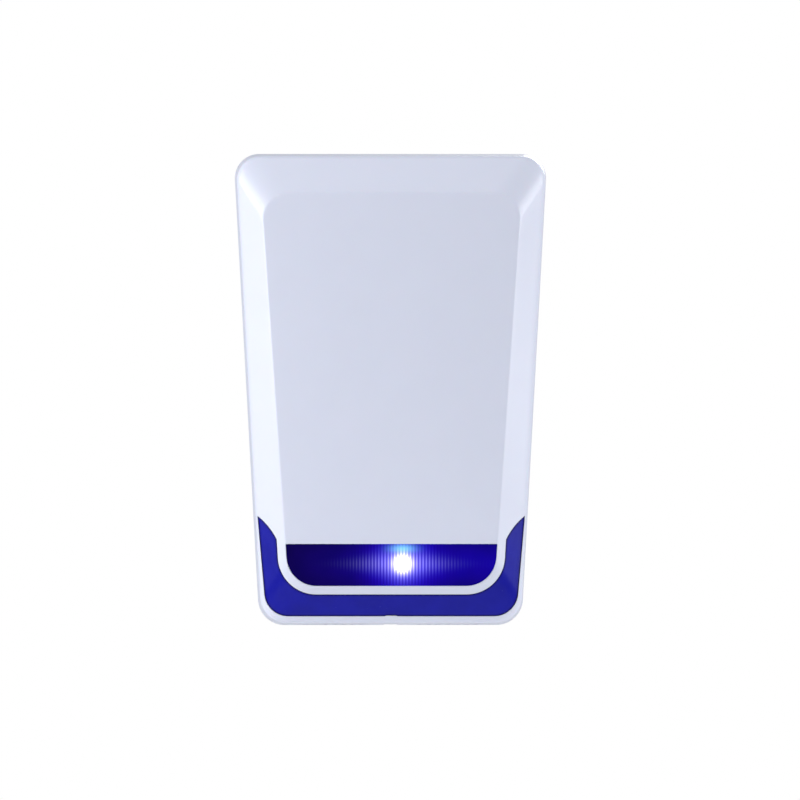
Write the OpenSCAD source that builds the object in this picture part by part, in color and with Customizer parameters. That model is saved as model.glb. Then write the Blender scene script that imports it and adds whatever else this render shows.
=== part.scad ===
// Self-contained outdoor alarm siren with a strobe.
// X runs across the siren, Y runs into the wall and Z runs up. The wall plane is y = 0 and the front
// faces -Y. The origin is the centre of the four wall screws.

/* [Housing] */
// Width across the top of the housing, at its sharp corners
body_width_top = 200; // [196:1:250]
// Width across the bottom of the housing, at its sharp corners
body_width_bottom = 167; // [164:1:210]
// Height of the housing
body_height = 300; // [298:1:370]
// Depth of the housing from the wall to the crown of the front panel
body_depth = 74; // [73:1:92]
// Radius of the two upper corners
corner_radius_top = 15.5; // [12:0.5:20]
// Radius of the two lower corners
corner_radius_bottom = 17; // [14:0.5:22]
// Wall thickness of the front cover
cover_wall = 2.5; // [2:0.1:3]
// Wall thickness of the rear tray
tray_wall = 2.5; // [2:0.1:3]
// Thickness of the rear tray's floor
tray_floor = 3; // [2.5:0.1:4]
// Depth of the rear tray, from the wall to the seam
tray_depth = 16; // [15.5:0.5:20]
// How far the tray sits inside the cover's outline
reveal = 1; // [0.6:0.1:1.5]
// Gap between the cover and the tray at the seam
seam_gap = 0.6; // [0.4:0.1:1]

/* [Front panel] */
// Distance from the housing's side to the panel, at the panel's top
panel_margin_top_side = 16.4; // [13:0.2:20]
// Distance from the housing's side to the panel, at the panel's bottom
panel_margin_bottom_side = 20; // [16:0.5:21]
// Distance from the top of the housing to the panel
panel_margin_top = 26.2; // [22:0.2:30]
// Distance from the bottom of the housing to the panel
panel_margin_bottom = 26; // [23:0.2:29]
// Radius of the panel's upper corners
panel_radius_top = 17; // [12:0.5:22]
// Radius of the panel's lower corners
panel_radius_bottom = 19; // [14:0.5:22]
// Height of the sloping shoulder, from the side wall to the panel
shoulder_drop = 15; // [12:0.5:18]
// Rise of the panel's middle above its edge
panel_crown = 1.5; // [0.5:0.1:2.5]

/* [Lenses] */
// Height of the strobe window
window_height = 26.5; // [22:0.5:30]
// Width of the white bead between the strobe window and the side lens
bead_width = 5.6; // [4:0.2:6]
// Width of the white edge below the side lens
lens_edge_bottom = 6.8; // [5:0.2:8]
// Height of the side lens's tips above the bottom of the housing
lens_tip_height = 69.7; // [62:0.1:80]
// Height at which the side lens reaches its full width
lens_shoulder_height = 55; // [50:0.5:58]
// Distance from the housing's side to the side lens, at its tips
lens_inset_tip = 3; // [1.8:0.1:4]
// Distance from the housing's side to the side lens, at its foot
lens_inset_foot = 5.1; // [3:0.1:6]
// Radius of the side lens's outer corners
lens_radius = 15; // [10:0.5:16]
// Radius of the curve from a tip to the side lens's full width
lens_tip_radius = 42; // [30:1:60]
// Thickness of the strobe window
lens_wall = 2.2; // [1.8:0.1:2.5]
// Gap all round a lens in its opening
lens_gap = 0.2; // [0.1:0.05:0.4]

/* [Hinge] */
// Radius of the barrel along the cover's top edge
barrel_radius = 7; // [6.5:0.5:8]
// Distance of each hinge from the middle
hinge_offset = 60; // [50:1:70]
// Thickness of the tray's hinge lug
lug_width = 7; // [6:0.5:9]
// Thickness of each of the cover's hinge ears
ear_width = 4; // [3:0.5:5]
// Radius of the hinge pins
pin_radius = 1.5; // [1.2:0.1:2]
// Radial clearance of a hinge pin in the cover's ears
pin_clearance = 0.05; // [0.02:0.01:0.09]

/* [Fixings] */
// Distance between the wall screws, across
wall_screw_spacing_x = 130; // [128:1:136]
// Distance between the wall screws, up
wall_screw_spacing_z = 220; // [216:1:236]
// Radius of the wall screw holes
wall_screw_hole_radius = 2.75; // [2.2:0.05:3.2]
// Radius of the alarm cable's bore in the grommet
cable_bore_radius = 4; // [3:0.5:5]
// Nominal radius of the cover screw
cover_screw_radius = 2; // [1.5:0.5:2.5]
// Length of the cover screw under its head
cover_screw_length = 16; // [14:1:18]
// Radius of the small inner screws
small_screw_radius = 1.4; // [1:0.1:1.6]

/* [Siren horn] */
// Radius of the horn's mouth
horn_radius = 48; // [40:1:50]
// Length of the horn from its driver to its mouth
horn_length = 34; // [28:1:36]

/* [Battery] */
// Width of the battery
battery_width = 97; // [80:1:100]
// Height of the battery's case
battery_height = 52; // [44:1:52]
// Thickness of the battery
battery_thickness = 43; // [36:1:46]

/* [Electronics] */
// Width of the main circuit board
board_width = 122; // [118:1:126]
// Height of the main circuit board
board_height = 48; // [46:1:50]
// Thickness of the circuit boards
board_thickness = 1.6; // [1:0.2:2]
// Travel of a tamper plunger
tamper_travel = 2.5; // [1.5:0.5:3]
// Number of lamps on the strobe board
lamp_count = 6; // [2:2:6]
// Distance between two lamps
lamp_pitch = 16; // [12:1:16]

/* [Hidden] */
$fn = 48;
arc_steps = 6;
// Overlap where two shapes of one piece are joined
merge = 0.3;
// How far a cut runs past the surface that it opens
over = 1;
// Gap between a piece and the one that it sits in or on
fit = 0.1;

// --- Frame ----------------------------------------------------------------------------------------

top_z = body_height / 2;
bottom_z = -body_height / 2;
side_slope = (body_width_top - body_width_bottom) / 2 / body_height;
seam_y = -tray_depth;
tray_front_y = seam_y + seam_gap;
panel_depth = body_depth - panel_crown;
panel_inner_y = cover_wall - panel_depth;
panel_top_z = top_z - panel_margin_top;
panel_bottom_z = bottom_z + panel_margin_bottom;
window_top_z = panel_bottom_z + window_height;
side_depth = panel_depth - shoulder_drop;
side_draft = 1.6;
// The margins at the top and bottom are wider, and the draft grows with them
bottom_draft = side_draft * 2 * panel_margin_bottom / (panel_margin_top_side + panel_margin_bottom_side);
shoulder_round = 7;
panel_edge_round = 2.5;

// Half the housing's width at a height
function half_width(z) = body_width_bottom / 2 + (z - bottom_z) * side_slope;

// --- Outlines -------------------------------------------------------------------------------------

function unit(v) = v / norm(v);
function mix(a, b, t) = a + (b - a) * t;

// The arc of radius r that rounds the corner b between a and c
function fillet(a, b, c, r, n) =
    let (
        u = unit(a - b),
        v = unit(c - b),
        half = acos(u * v) / 2,
        centre = b + unit(u + v) * r / sin(half),
        start = b + u * r / tan(half) - centre,
        end = b + v * r / tan(half) - centre,
        first = atan2(start.y, start.x),
        sweep = (atan2(end.y, end.x) - first + 540) % 360 - 180
    )
    [for (i = [0 : n]) centre + r * [cos(first + sweep * i / n), sin(first + sweep * i / n)]];

// A closed polygon with every corner rounded to its own radius
function rounded(points, radii, n = arc_steps) =
    let (last = len(points))
    [for (i = [0 : last - 1])
        each fillet(points[(i + last - 1) % last], points[i], points[(i + 1) % last], radii[i], n)];

// A symmetric trapezoid with rounded corners, counterclockwise from its lower right corner
function trapezoid(half_bottom, half_top, z_bottom, z_top, r_bottom, r_top) =
    rounded(
        [[half_bottom, z_bottom], [half_top, z_top], [-half_top, z_top], [-half_bottom, z_bottom]],
        [r_bottom, r_top, r_top, r_bottom]);

// The housing's section: f = 0 is the outline at the wall and f = 1 is the edge of the front panel.
// Inset moves every side inwards.
function section(f, inset = 0) =
    let (
        lean = norm([1, side_slope]),
        z_low = mix(bottom_z, panel_bottom_z, f),
        z_high = mix(top_z, panel_top_z, f),
        margin_low = mix(0, panel_margin_bottom_side, f),
        margin_high = mix(0, panel_margin_top_side, f)
    )
    trapezoid(
        half_width(z_low) - margin_low - inset * lean,
        half_width(z_high) - margin_high - inset * lean,
        z_low + inset, z_high - inset,
        max(mix(corner_radius_bottom, panel_radius_bottom, f) - inset, 1),
        max(mix(corner_radius_top, panel_radius_top, f) - inset, 1));

// A section shrunk towards the middle of the panel
function crown_section(share, inset = 0) =
    let (middle = [0, (panel_top_z + panel_bottom_z) / 2])
    [for (p = section(1, inset)) mix(middle, p, share)];

// Side wall and shoulder in section: share of the margin and depth from the wall, with rounded bends
function shoulder_profile() =
    let (
        margin = (panel_margin_top_side + panel_margin_bottom_side) / 2,
        corners = [[0, tray_depth], [side_draft, side_depth], [margin, panel_depth],
            [2 * margin, panel_depth]],
        bends = concat(
            fillet(corners[0], corners[1], corners[2], shoulder_round, 3),
            fillet(corners[1], corners[2], corners[3], panel_edge_round, 2))
    )
    [for (p = bends) [min(p.x / margin, 1), p.y]];

// --- Lens outlines --------------------------------------------------------------------------------

lens_bottom_z = bottom_z + lens_edge_bottom;
lens_tip_z = bottom_z + lens_tip_height;
lens_shoulder_z = bottom_z + lens_shoulder_height;
panel_half_bottom = half_width(panel_bottom_z) - panel_margin_bottom_side;
panel_half_top = half_width(panel_top_z) - panel_margin_top_side;
panel_slope = (panel_half_top - panel_half_bottom) / (panel_top_z - panel_bottom_z);

// Half the front panel's width at a height
function panel_half(z) = panel_half_bottom + (z - panel_bottom_z) * panel_slope;

// The strobe window, grown by a given amount
function window_outline(grow = 0) =
    rounded(
        [[panel_half(panel_bottom_z) + grow, panel_bottom_z - grow],
            [panel_half(window_top_z) + grow, window_top_z + grow],
            [-panel_half(window_top_z) - grow, window_top_z + grow],
            [-panel_half(panel_bottom_z) - grow, panel_bottom_z - grow]],
        [panel_radius_bottom + grow, 0.6, 0.6, panel_radius_bottom + grow]);

// The arc from the side lens's full width out to its right tip
function tip_arc(grow) =
    let (
        inner = [panel_half(lens_shoulder_z) + bead_width - grow, lens_shoulder_z + grow],
        tip = [half_width(lens_tip_z) - lens_inset_tip + grow, lens_tip_z + 2 * grow],
        chord = tip - inner,
        rise = sqrt(pow(lens_tip_radius, 2) - pow(norm(chord) / 2, 2)),
        centre = (tip + inner) / 2 + rise * unit([chord.y, -chord.x]),
        first = atan2(inner.y - centre.y, inner.x - centre.x),
        last = atan2(tip.y - centre.y, tip.x - centre.x)
    )
    [for (i = [0 : arc_steps])
        let (a = mix(first, last, i / arc_steps))
        centre + lens_tip_radius * [cos(a), sin(a)]];

// The U-shaped side lens, grown by a given amount: up the inner side of its right arm, over the tip,
// down the outer side, round the foot and back along the left arm
function side_lens_outline(grow = 0) =
    let (
        inner_bottom = panel_bottom_z - bead_width + grow,
        inner_corner = fillet(
            [0, inner_bottom],
            [panel_half(panel_bottom_z) + bead_width - grow, inner_bottom],
            [panel_half(lens_shoulder_z) + bead_width - grow, lens_shoulder_z],
            panel_radius_bottom + bead_width - grow, arc_steps),
        outer_bottom = lens_bottom_z - grow,
        outer_corner = fillet(
            [half_width(lens_tip_z) - lens_inset_tip + grow, lens_tip_z],
            [half_width(outer_bottom) - lens_inset_foot + grow, outer_bottom],
            [0, outer_bottom],
            lens_radius + grow, arc_steps),
        right = concat(inner_corner, tip_arc(grow), outer_corner),
        count = len(right)
    )
    concat(right, [for (i = [count - 1 : -1 : 0]) [-right[i].x, right[i].y]]);

// --- Shapes ---------------------------------------------------------------------------------------

// A solid through stacked sections, from the rearmost to the foremost, each at its own y
module loft(sections, ys) {
    count = len(sections[0]);
    last = len(sections) - 1;
    points = [for (i = [0 : last]) for (p = sections[i]) [p.x, ys[i], p.y]];
    sides = [for (i = [0 : last - 1]) for (j = [0 : count - 1])
        let (k = (j + 1) % count)
        [i * count + j, (i + 1) * count + j, (i + 1) * count + k, i * count + k]];
    triangles = [for (q = sides) each [[q[0], q[1], q[2]], [q[0], q[2], q[3]]]];
    rear = [for (j = [0 : count - 1]) j];
    front = [for (j = [count - 1 : -1 : 0]) last * count + j];
    polyhedron(points, concat(triangles, [rear, front]));
}

// The housing's outer shape forward of rear_y, shrunk by inset on every side
module housing(rear_y, inset = 0) {
    profile = shoulder_profile();
    sections = concat(
        [section(0, inset)],
        [for (p = profile) section(p.x, inset)],
        [crown_section(0.6, inset), crown_section(0.25, inset)]);
    ys = concat(
        [rear_y],
        [for (p = profile) inset - p.y],
        [inset - panel_depth - panel_crown * 0.75, inset - body_depth]);
    loft(sections, ys);
}

// A plate whose outline is given in x and z, between two y
module plate(outline, y_front, y_rear) {
    translate([0, y_rear, 0])
        rotate([90, 0, 0])
            linear_extrude(y_rear - y_front)
                polygon(outline);
}

// Cylinders along the three axes, each between two places on its axis
module rod_x(r, x_low, x_high, y, z) {
    translate([x_low, y, z])
        rotate([0, 90, 0])
            cylinder(r = r, h = x_high - x_low);
}
module rod_y(r, y_front, y_rear, at) {
    translate([at.x, y_rear, at.y])
        rotate([90, 0, 0])
            cylinder(r = r, h = y_rear - y_front);
}
module rod_z(r, z_low, z_high, x, y) {
    translate([x, y, z_low])
        cylinder(r = r, h = z_high - z_low);
}

// A box between two corners
module block(low, high) {
    translate(low)
        cube(high - low);
}

// A box on a board: width and height about a centre [x, z], rising forwards from y_rear
module chip_box(at, size, rise, y_rear) {
    block([at.x - size.x / 2, y_rear - rise, at.y - size.y / 2],
        [at.x + size.x / 2, y_rear, at.y + size.y / 2]);
}

// A turned piece about an axis along Y. The profile gives radius and distance forward of y_rear.
module turned_y(profile, y_rear, at) {
    translate([at.x, y_rear, at.y])
        rotate([90, 0, 0])
            rotate_extrude()
                polygon(profile);
}

// Copies at x and -x
module mirrored_x() {
    children();
    mirror([1, 0, 0])
        children();
}

// A small pan-head screw along Y: its head sits on y_seat and its shank runs back into the piece
module small_screw(at, y_seat, length) {
    rod_y(small_screw_head_radius, y_seat - small_screw_head, y_seat, at);
    rod_y(small_screw_radius, y_seat - merge, y_seat + length, at);
}

// A post on the tray's floor with a blind hole for a small screw
module post(at, r, y_front) {
    difference() {
        rod_y(r, y_front, -tray_floor + merge, at);
        rod_y(small_screw_radius + fit / 2, y_front - over, y_front + small_screw_depth + fit, at);
    }
}

// A sheet-metal foot, tab or board corner that a small screw passes
module screw_hole(at, y_front, y_rear) {
    rod_y(small_screw_radius + fit, y_front - over, y_rear + over, at);
}

small_screw_head_radius = 2.6;
small_screw_head = 2;
small_screw_depth = 6;

// --- Wires and springs ----------------------------------------------------------------------------

// A smooth curve through points, by Catmull-Rom, with a number of steps between two of them
function smooth(points, steps) =
    let (last = len(points) - 1)
    concat(
        [for (i = [0 : last - 1]) for (s = [0 : steps - 1])
            let (
                t = s / steps,
                a = points[max(i - 1, 0)],
                b = points[i],
                c = points[i + 1],
                d = points[min(i + 2, last)]
            )
            0.5 * (2 * b + (c - a) * t + (2 * a - 5 * b + 4 * c - d) * t * t
                + (3 * b - a - 3 * c + d) * t * t * t)],
        [points[last]]);

function heading(path, i) = unit(path[min(i + 1, len(path) - 1)] - path[max(i - 1, 0)]);
function across(v, direction) = unit(v - (v * direction) * direction);

// The side vectors along a path, each turned as little as possible from the one before
function sides_along(path, side) =
    [for (i = 0, v = across(side, heading(path, 0));
          i < len(path);
          i = i + 1, v = across(v, heading(path, min(i, len(path) - 1))))
        v];

// A round tube along a path
module tube(path, r, facets = 8, side = [0.3, 0.5, 0.8]) {
    normals = sides_along(path, side);
    last = len(path) - 1;
    points = [for (i = [0 : last]) for (j = [0 : facets - 1])
        let (
            u = normals[i],
            v = cross(heading(path, i), u),
            a = 360 * j / facets
        )
        path[i] + r * (cos(a) * u + sin(a) * v)];
    sides = [for (i = [0 : last - 1]) for (j = [0 : facets - 1])
        let (k = (j + 1) % facets)
        [i * facets + j, (i + 1) * facets + j, (i + 1) * facets + k, i * facets + k]];
    triangles = [for (q = sides) each [[q[0], q[1], q[2]], [q[0], q[2], q[3]]]];
    rear = [for (j = [0 : facets - 1]) j];
    front = [for (j = [facets - 1 : -1 : 0]) last * facets + j];
    polyhedron(points, concat(triangles, [rear, front]));
}

// A coil spring about an axis along Y
module coil(r, wire, turns, y_front, y_rear, at) {
    steps = 12;
    path = [for (i = [0 : turns * steps])
        let (a = 360 * i / steps)
        [at.x + r * cos(a), mix(y_rear - wire, y_front + wire, i / (turns * steps)), at.y + r * sin(a)]];
    tube(path, wire, 6, [1, 0, 0]);
}

wire_radius = 1.1;
wire_steps = 4;

// --- Hinge ----------------------------------------------------------------------------------------

hinge_y = seam_y;
hinge_z = top_z - barrel_radius;
trough_clearance = 0.4;
trough_wall = 2.5;
lug_radius = barrel_radius - cover_wall - 0.5;
ear_gap = 0.5;
// The lip of the barrel ends at this angle above the horizontal
lip_angle = 25;
// Room behind the barrel for the cover's top wall when it stands open
open_room = barrel_radius + 0.8;
ear_inner = lug_width / 2 + ear_gap;
ear_outer = ear_inner + ear_width;

// The part of a cylinder about the hinge that lies behind the seam
module barrel_rear(radius, inset) {
    intersection() {
        plate(section(0, inset), seam_y - merge, seam_y + radius);
        rod_x(radius, -body_width_top, body_width_top, hinge_y, hinge_z);
    }
}

// The rolled rear edge along the cover's top, closed at both ends and open above each lug
module barrel() {
    half = half_width(hinge_z) - cover_wall - 2;
    difference() {
        barrel_rear(barrel_radius, 0);
        barrel_rear(barrel_radius - cover_wall, cover_wall);
        translate([0, hinge_y, hinge_z])
            rotate([lip_angle, 0, 0])
                block([-half, 0, -2 * barrel_radius], [half, 2 * barrel_radius, 0]);
        block([-half, hinge_y - over, hinge_z - 2 * barrel_radius], [half, hinge_y + barrel_radius, hinge_z]);
        mirrored_x()
            block([hinge_offset - ear_inner, hinge_y + fit, hinge_z - barrel_radius],
                [hinge_offset + ear_inner, hinge_y + 2 * barrel_radius, top_z + over]);
    }
}

// One ear of the cover's hinge, between two x
module hinge_ear(x_low, x_high) {
    difference() {
        union() {
            rod_x(lug_radius, x_low, x_high, hinge_y, hinge_z);
            block([x_low, hinge_y - lug_radius - 3, hinge_z],
                [x_high, hinge_y + lug_radius, top_z - cover_wall + merge]);
        }
        rod_x(pin_radius + pin_clearance, x_low - over, x_high + over, hinge_y, hinge_z);
    }
}

module hinge_ears(middle) {
    hinge_ear(middle - ear_outer, middle - ear_inner);
    hinge_ear(middle + ear_inner, middle + ear_outer);
}

// The tray's lug: its neck stays under the cover's top wall when the cover stands open
module hinge_lug(middle) {
    low = middle - lug_width / 2;
    high = middle + lug_width / 2;
    difference() {
        union() {
            rod_x(lug_radius, low, high, hinge_y, hinge_z);
            block([low, hinge_y, hinge_z - lug_radius - 1.6],
                [high, hinge_y + barrel_radius + trough_clearance + merge, hinge_z - 1.3]);
        }
        rod_x(pin_radius + pin_clearance / 2, low - over, high + over, hinge_y, hinge_z);
    }
}

module hinge_pin(middle) {
    color("silver")
        rod_x(pin_radius, middle - ear_outer, middle + ear_outer, hinge_y, hinge_z);
}
module hinge_pin_left() {
    hinge_pin(-hinge_offset);
}
module hinge_pin_right() {
    hinge_pin(hinge_offset);
}

// --- Cover screw ----------------------------------------------------------------------------------

screw_y = seam_y - 8;
screw_head_radius = cover_screw_radius * 1.9;
screw_head_height = cover_screw_radius * 1.1;
washer_radius = screw_head_radius + 0.2;
washer_thickness = 0.8;
// The screw's seat in the cover's bottom wall, and the boss on the tray above it
screw_head_z = bottom_z + 0.6;
seat_thickness = 3;
seat_z = screw_head_z + screw_head_height + washer_thickness;
seat_top_z = seat_z + seat_thickness;
seat_half = 8;
boss_gap = 0.8;
boss_z = seat_top_z + boss_gap;
boss_half = 7;
insert_radius = cover_screw_radius + 1.2;
insert_length = 9;
boss_top_z = seat_z + cover_screw_length + 2;
boss_front_y = screw_y - boss_half;

module cover_screw() {
    color("silver")
        difference() {
            union() {
                rod_z(screw_head_radius, screw_head_z, seat_z - washer_thickness, 0, screw_y);
                rod_z(cover_screw_radius, screw_head_z + merge, seat_z + cover_screw_length, 0, screw_y);
            }
            // Cross recess
            for (turn = [0, 90])
                translate([0, screw_y, screw_head_z - over])
                    rotate([0, 0, turn])
                        block([-2.2, -0.4, 0], [2.2, 0.4, over + 1.2]);
        }
}

module screw_washer() {
    color("silver")
        difference() {
            rod_z(washer_radius, seat_z - washer_thickness, seat_z, 0, screw_y);
            rod_z(cover_screw_radius + 0.1, seat_z - 2, seat_z + over, 0, screw_y);
        }
}

module screw_insert() {
    color("goldenrod")
        difference() {
            rod_z(insert_radius, boss_z, boss_z + insert_length, 0, screw_y);
            rod_z(cover_screw_radius + 0.05, boss_z - over, boss_z + insert_length + over, 0, screw_y);
        }
}

// The notch in the cover's bottom wall, open to the rear so that the cover swings off the screw
module screw_notch() {
    pocket = washer_radius + 0.4;
    slot = cover_screw_radius + 0.3;
    rod_z(pocket, bottom_z - over, seat_z, 0, screw_y);
    block([-pocket, screw_y, bottom_z - over], [pocket, seam_y + over, seat_z]);
    rod_z(slot, bottom_z - over, seat_top_z + over, 0, screw_y);
    block([-slot, screw_y, bottom_z - over], [slot, seam_y + over, seat_top_z + over]);
}

module screw_boss() {
    difference() {
        block([-boss_half, boss_front_y, boss_z], [boss_half, -tray_floor + merge, boss_top_z + 2]);
        rod_z(insert_radius + 0.02, boss_z - over, boss_z + insert_length + fit, 0, screw_y);
        rod_z(cover_screw_radius + 0.5, boss_z, boss_top_z, 0, screw_y);
    }
}

// --- Sound outlet ---------------------------------------------------------------------------------

sound_slots = 7;
sound_slot_pitch = 6;
sound_slot_width = 3;
sound_first_x = 18;
sound_front_y = seam_y - 20;
sound_rear_y = seam_y - 8;
mesh_z = bottom_z + cover_wall + bottom_draft + fit;
mesh_thickness = 0.6;
mesh_margin = 3;
sound_last_x = sound_first_x + (sound_slots - 1) * sound_slot_pitch;

module sound_cuts() {
    for (i = [0 : sound_slots - 1]) {
        x = sound_first_x + i * sound_slot_pitch;
        block([x - sound_slot_width / 2, sound_front_y, bottom_z - over],
            [x + sound_slot_width / 2, sound_rear_y, mesh_z + over]);
    }
}

// The ledge round the slots that carries the mesh
module mesh_ledge() {
    low_x = sound_first_x - mesh_margin - 2;
    high_x = sound_last_x + mesh_margin + 2;
    block([low_x, sound_front_y - mesh_margin, bottom_z + cover_wall - merge],
        [high_x, sound_rear_y + mesh_margin, mesh_z - fit / 2]);
}

module sound_mesh() {
    color("gray")
        mirrored_x()
            difference() {
                block([sound_first_x - mesh_margin - 1, sound_front_y - mesh_margin, mesh_z],
                    [sound_last_x + mesh_margin + 1, sound_rear_y + mesh_margin, mesh_z + mesh_thickness]);
                for (y = [sound_front_y + 0.5 : 2 : sound_rear_y - 1])
                    block([sound_first_x - 2, y, mesh_z - over], [sound_last_x + 2, y + 1.2, mesh_z + over]);
            }
}

// --- Front cover and lenses -----------------------------------------------------------------------

window_front_y = -panel_depth + 0.3;
window_flange = 1.4;
window_flange_height = 3.5;
// The cover's tamper post stands above the strobe window's flange
tamper_at = [62, window_top_z + window_flange_height + 6];
tamper_tip_y = panel_inner_y + 6;
tamper_body_y = tamper_tip_y + 6;
tamper_body = 12;
tamper_rear_y = tamper_body_y + tamper_body;
// The rear end of the side lens's skirt
lens_cut_y = 5.5 - side_depth;
lens_depth_inset = 0.3;
lens_flange = 1.2;
lens_flange_grow = 1.6;

module front_cover() {
    color("white")
        difference() {
            union() {
                difference() {
                    housing(seam_y, 0);
                    housing(seam_y + over, cover_wall);
                }
                barrel();
                hinge_ears(hinge_offset);
                hinge_ears(-hinge_offset);
                block([-seat_half, screw_y - seat_half, bottom_z + cover_wall - merge],
                    [seat_half, seam_y - fit, seat_top_z]);
                mirrored_x()
                    mesh_ledge();
                // The post that holds the tamper plunger down
                rod_y(3, panel_inner_y - cover_wall * 0.6, tamper_tip_y - fit, tamper_at);
            }
            plate(side_lens_outline(lens_gap), -body_depth - over, lens_cut_y);
            plate(window_outline(), -body_depth - over, panel_inner_y + over);
            screw_notch();
            mirrored_x()
                sound_cuts();
        }
}

// A shell that follows the housing between two insets, cut to an outline
module lens_shell(outline, outer, inner) {
    intersection() {
        difference() {
            housing(seam_y, outer);
            housing(seam_y - over, inner);
        }
        plate(outline, -body_depth - over, lens_cut_y);
    }
}

// The side lens: in line with the shoulder, with a thin flange behind the opening's edge
module side_lens() {
    flange_inset = cover_wall + fit;
    color("mediumblue") {
        lens_shell(side_lens_outline(), lens_depth_inset, flange_inset + fit);
        lens_shell(side_lens_outline(lens_flange_grow), flange_inset, flange_inset + lens_flange);
    }
}

module strobe_window() {
    color("navy") {
        plate(window_outline(-lens_gap), window_front_y, window_front_y + lens_wall);
        // Flange behind the cover's panel, along the top
        half = panel_half(window_top_z) - 6;
        rear = panel_inner_y + fit + window_flange;
        block([-half, window_front_y + lens_wall - merge, window_top_z - 3], [half, rear, window_top_z - 1]);
        block([-half, panel_inner_y + fit, window_top_z - 3],
            [half, rear, window_top_z + window_flange_height]);
    }
}

// --- Rear tray ------------------------------------------------------------------------------------

horn_at = [0, 80];
horn_post_reach = 40;
horn_posts = [for (sx = [-1, 1]) for (sz = [-1, 1]) horn_at + horn_post_reach * [sx, sz]];
horn_lug_thickness = 3;
horn_cap_y = -tray_floor - 1;
horn_cap_depth = 10;
horn_rear_y = horn_cap_y - horn_cap_depth;
horn_mouth_y = horn_rear_y - horn_length;
horn_lug_y = horn_mouth_y + horn_lug_thickness;
horn_post_radius = 4;

board_at = [0, 0];
board_rear_y = -tray_floor - 8;
board_front_y = board_rear_y - board_thickness;
board_post_inset = 5;
board_posts = [for (sx = [-1, 1]) for (sz = [-1, 1])
    board_at + [sx * (board_width / 2 - board_post_inset), sz * (board_height / 2 - board_post_inset)]];

shield_half = 57;
shield_sheet = 1;
shield_low_z = 28;
shield_high_z = 131.5;
shield_front_y = horn_mouth_y - 7;
shield_tab_y = -tray_floor - 3;
shield_tab_reach = 10;
shield_posts = [for (sx = [-1, 1]) for (z = [46, 86]) [sx * (shield_half + shield_tab_reach / 2 + 0.5), z]];

battery_top_z = -34;
battery_bottom_z = battery_top_z - battery_height;
battery_rear_y = -tray_floor - 0.4;
battery_front_y = battery_rear_y - battery_thickness;
strap_sheet = 1.2;
strap_height = 12;
strap_z = (battery_top_z + battery_bottom_z) / 2;
strap_foot = 11;
strap_foot_y = -tray_floor - 7;
strap_half = battery_width / 2 + 0.5;
strap_posts = [for (sx = [-1, 1]) [sx * (strap_half + strap_sheet + strap_foot / 2), strap_z]];
shelf_thickness = 2.5;

lamp_z = (panel_bottom_z + window_top_z) / 2;
strobe_half = 62;
strobe_half_height = 11;
strobe_rear_y = panel_inner_y + 14;
strobe_front_y = strobe_rear_y - board_thickness;
strobe_posts = [[-50, lamp_z], [50, lamp_z]];

wall_tamper_at = [-tamper_at.x, 22 - wall_screw_spacing_z / 2];
level_at = [0, battery_bottom_z - 11];
cable_at = [-28, bottom_z + 30];
grommet_groove_radius = cable_bore_radius + 5;
upstand_inset = cover_wall + 0.7;
upstand_wall = 1.5;
upstand_height = 3.5;

wall_screws = [for (sx = [-1, 1]) for (sz = [-1, 1])
    [sx * wall_screw_spacing_x / 2, sz * wall_screw_spacing_z / 2]];

// A flat ring that follows the housing's outline, between two insets and two y
module outline_ring(outer, inner, y_front, y_rear) {
    difference() {
        plate(section(0, outer), y_front, y_rear);
        plate(section(0, inner), y_front - over, y_rear + over);
    }
}

// The part of the tray that the hinge takes up
module hinge_cut() {
    radius = barrel_radius + trough_clearance;
    rod_x(radius, -body_width_top, body_width_top, hinge_y, hinge_z);
    block([-body_width_top, hinge_y - over, hinge_z], [body_width_top, hinge_y + open_room, top_z + over]);
}

// Solid round the hinge cut, inside the tray's outline
module trough() {
    radius = barrel_radius + trough_clearance + trough_wall;
    intersection() {
        plate(section(0, reveal), tray_front_y, -tray_floor + merge);
        union() {
            rod_x(radius, -body_width_top, body_width_top, hinge_y, hinge_z);
            block([-body_width_top, hinge_y, hinge_z],
                [body_width_top, hinge_y + open_room + trough_wall, top_z]);
        }
    }
}

module tray_shell() {
    difference() {
        union() {
            difference() {
                plate(section(0, reveal), tray_front_y, 0);
                plate(section(0, reveal + tray_wall), tray_front_y - over, -tray_floor);
            }
            trough();
        }
        hinge_cut();
    }
    // Rain lip inside the cover, along both sides and the bottom
    difference() {
        outline_ring(upstand_inset, upstand_inset + upstand_wall, tray_front_y - upstand_height, -tray_floor);
        block([-body_width_top, -body_depth, hinge_z - barrel_radius - trough_wall - 2],
            [body_width_top, over, top_z + over]);
        // Room for the cover screw's seat
        block([-seat_half - over, -body_depth, bottom_z], [seat_half + over, seam_y + fit, boss_top_z]);
    }
}

module battery_shelf() {
    block([-strap_half, battery_front_y + 8, battery_bottom_z - shelf_thickness - fit],
        [strap_half, -tray_floor + merge, battery_bottom_z - fit]);
}

module rear_tray() {
    color("whitesmoke")
        difference() {
            union() {
                tray_shell();
                mirrored_x()
                    hinge_lug(hinge_offset);
                screw_boss();
                battery_shelf();
                for (at = wall_screws)
                    rod_y(7, -tray_floor - 3, -tray_floor + merge, at);
                for (at = horn_posts)
                    post(at, horn_post_radius, horn_lug_y);
                for (at = board_posts)
                    post(at, 3.5, board_rear_y);
                for (at = shield_posts)
                    post(at, 3.8, shield_tab_y);
                for (at = strap_posts)
                    post(at, 3.8, strap_foot_y);
                for (at = strobe_posts)
                    post(at, 4, strobe_rear_y);
                // Pillar under the cover's tamper switch
                chip_box(tamper_at, [14, 14], -tray_floor + merge - tamper_rear_y, -tray_floor + merge);
            }
            for (at = wall_screws)
                rod_y(wall_screw_hole_radius, -tray_floor - 3 - over, over, at);
            rod_y(grommet_groove_radius + fit, -tray_floor - over, over, cable_at);
            rod_y(wall_plunger_radius + 0.4, -tray_floor - over, over, wall_tamper_at);
        }
}

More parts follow.
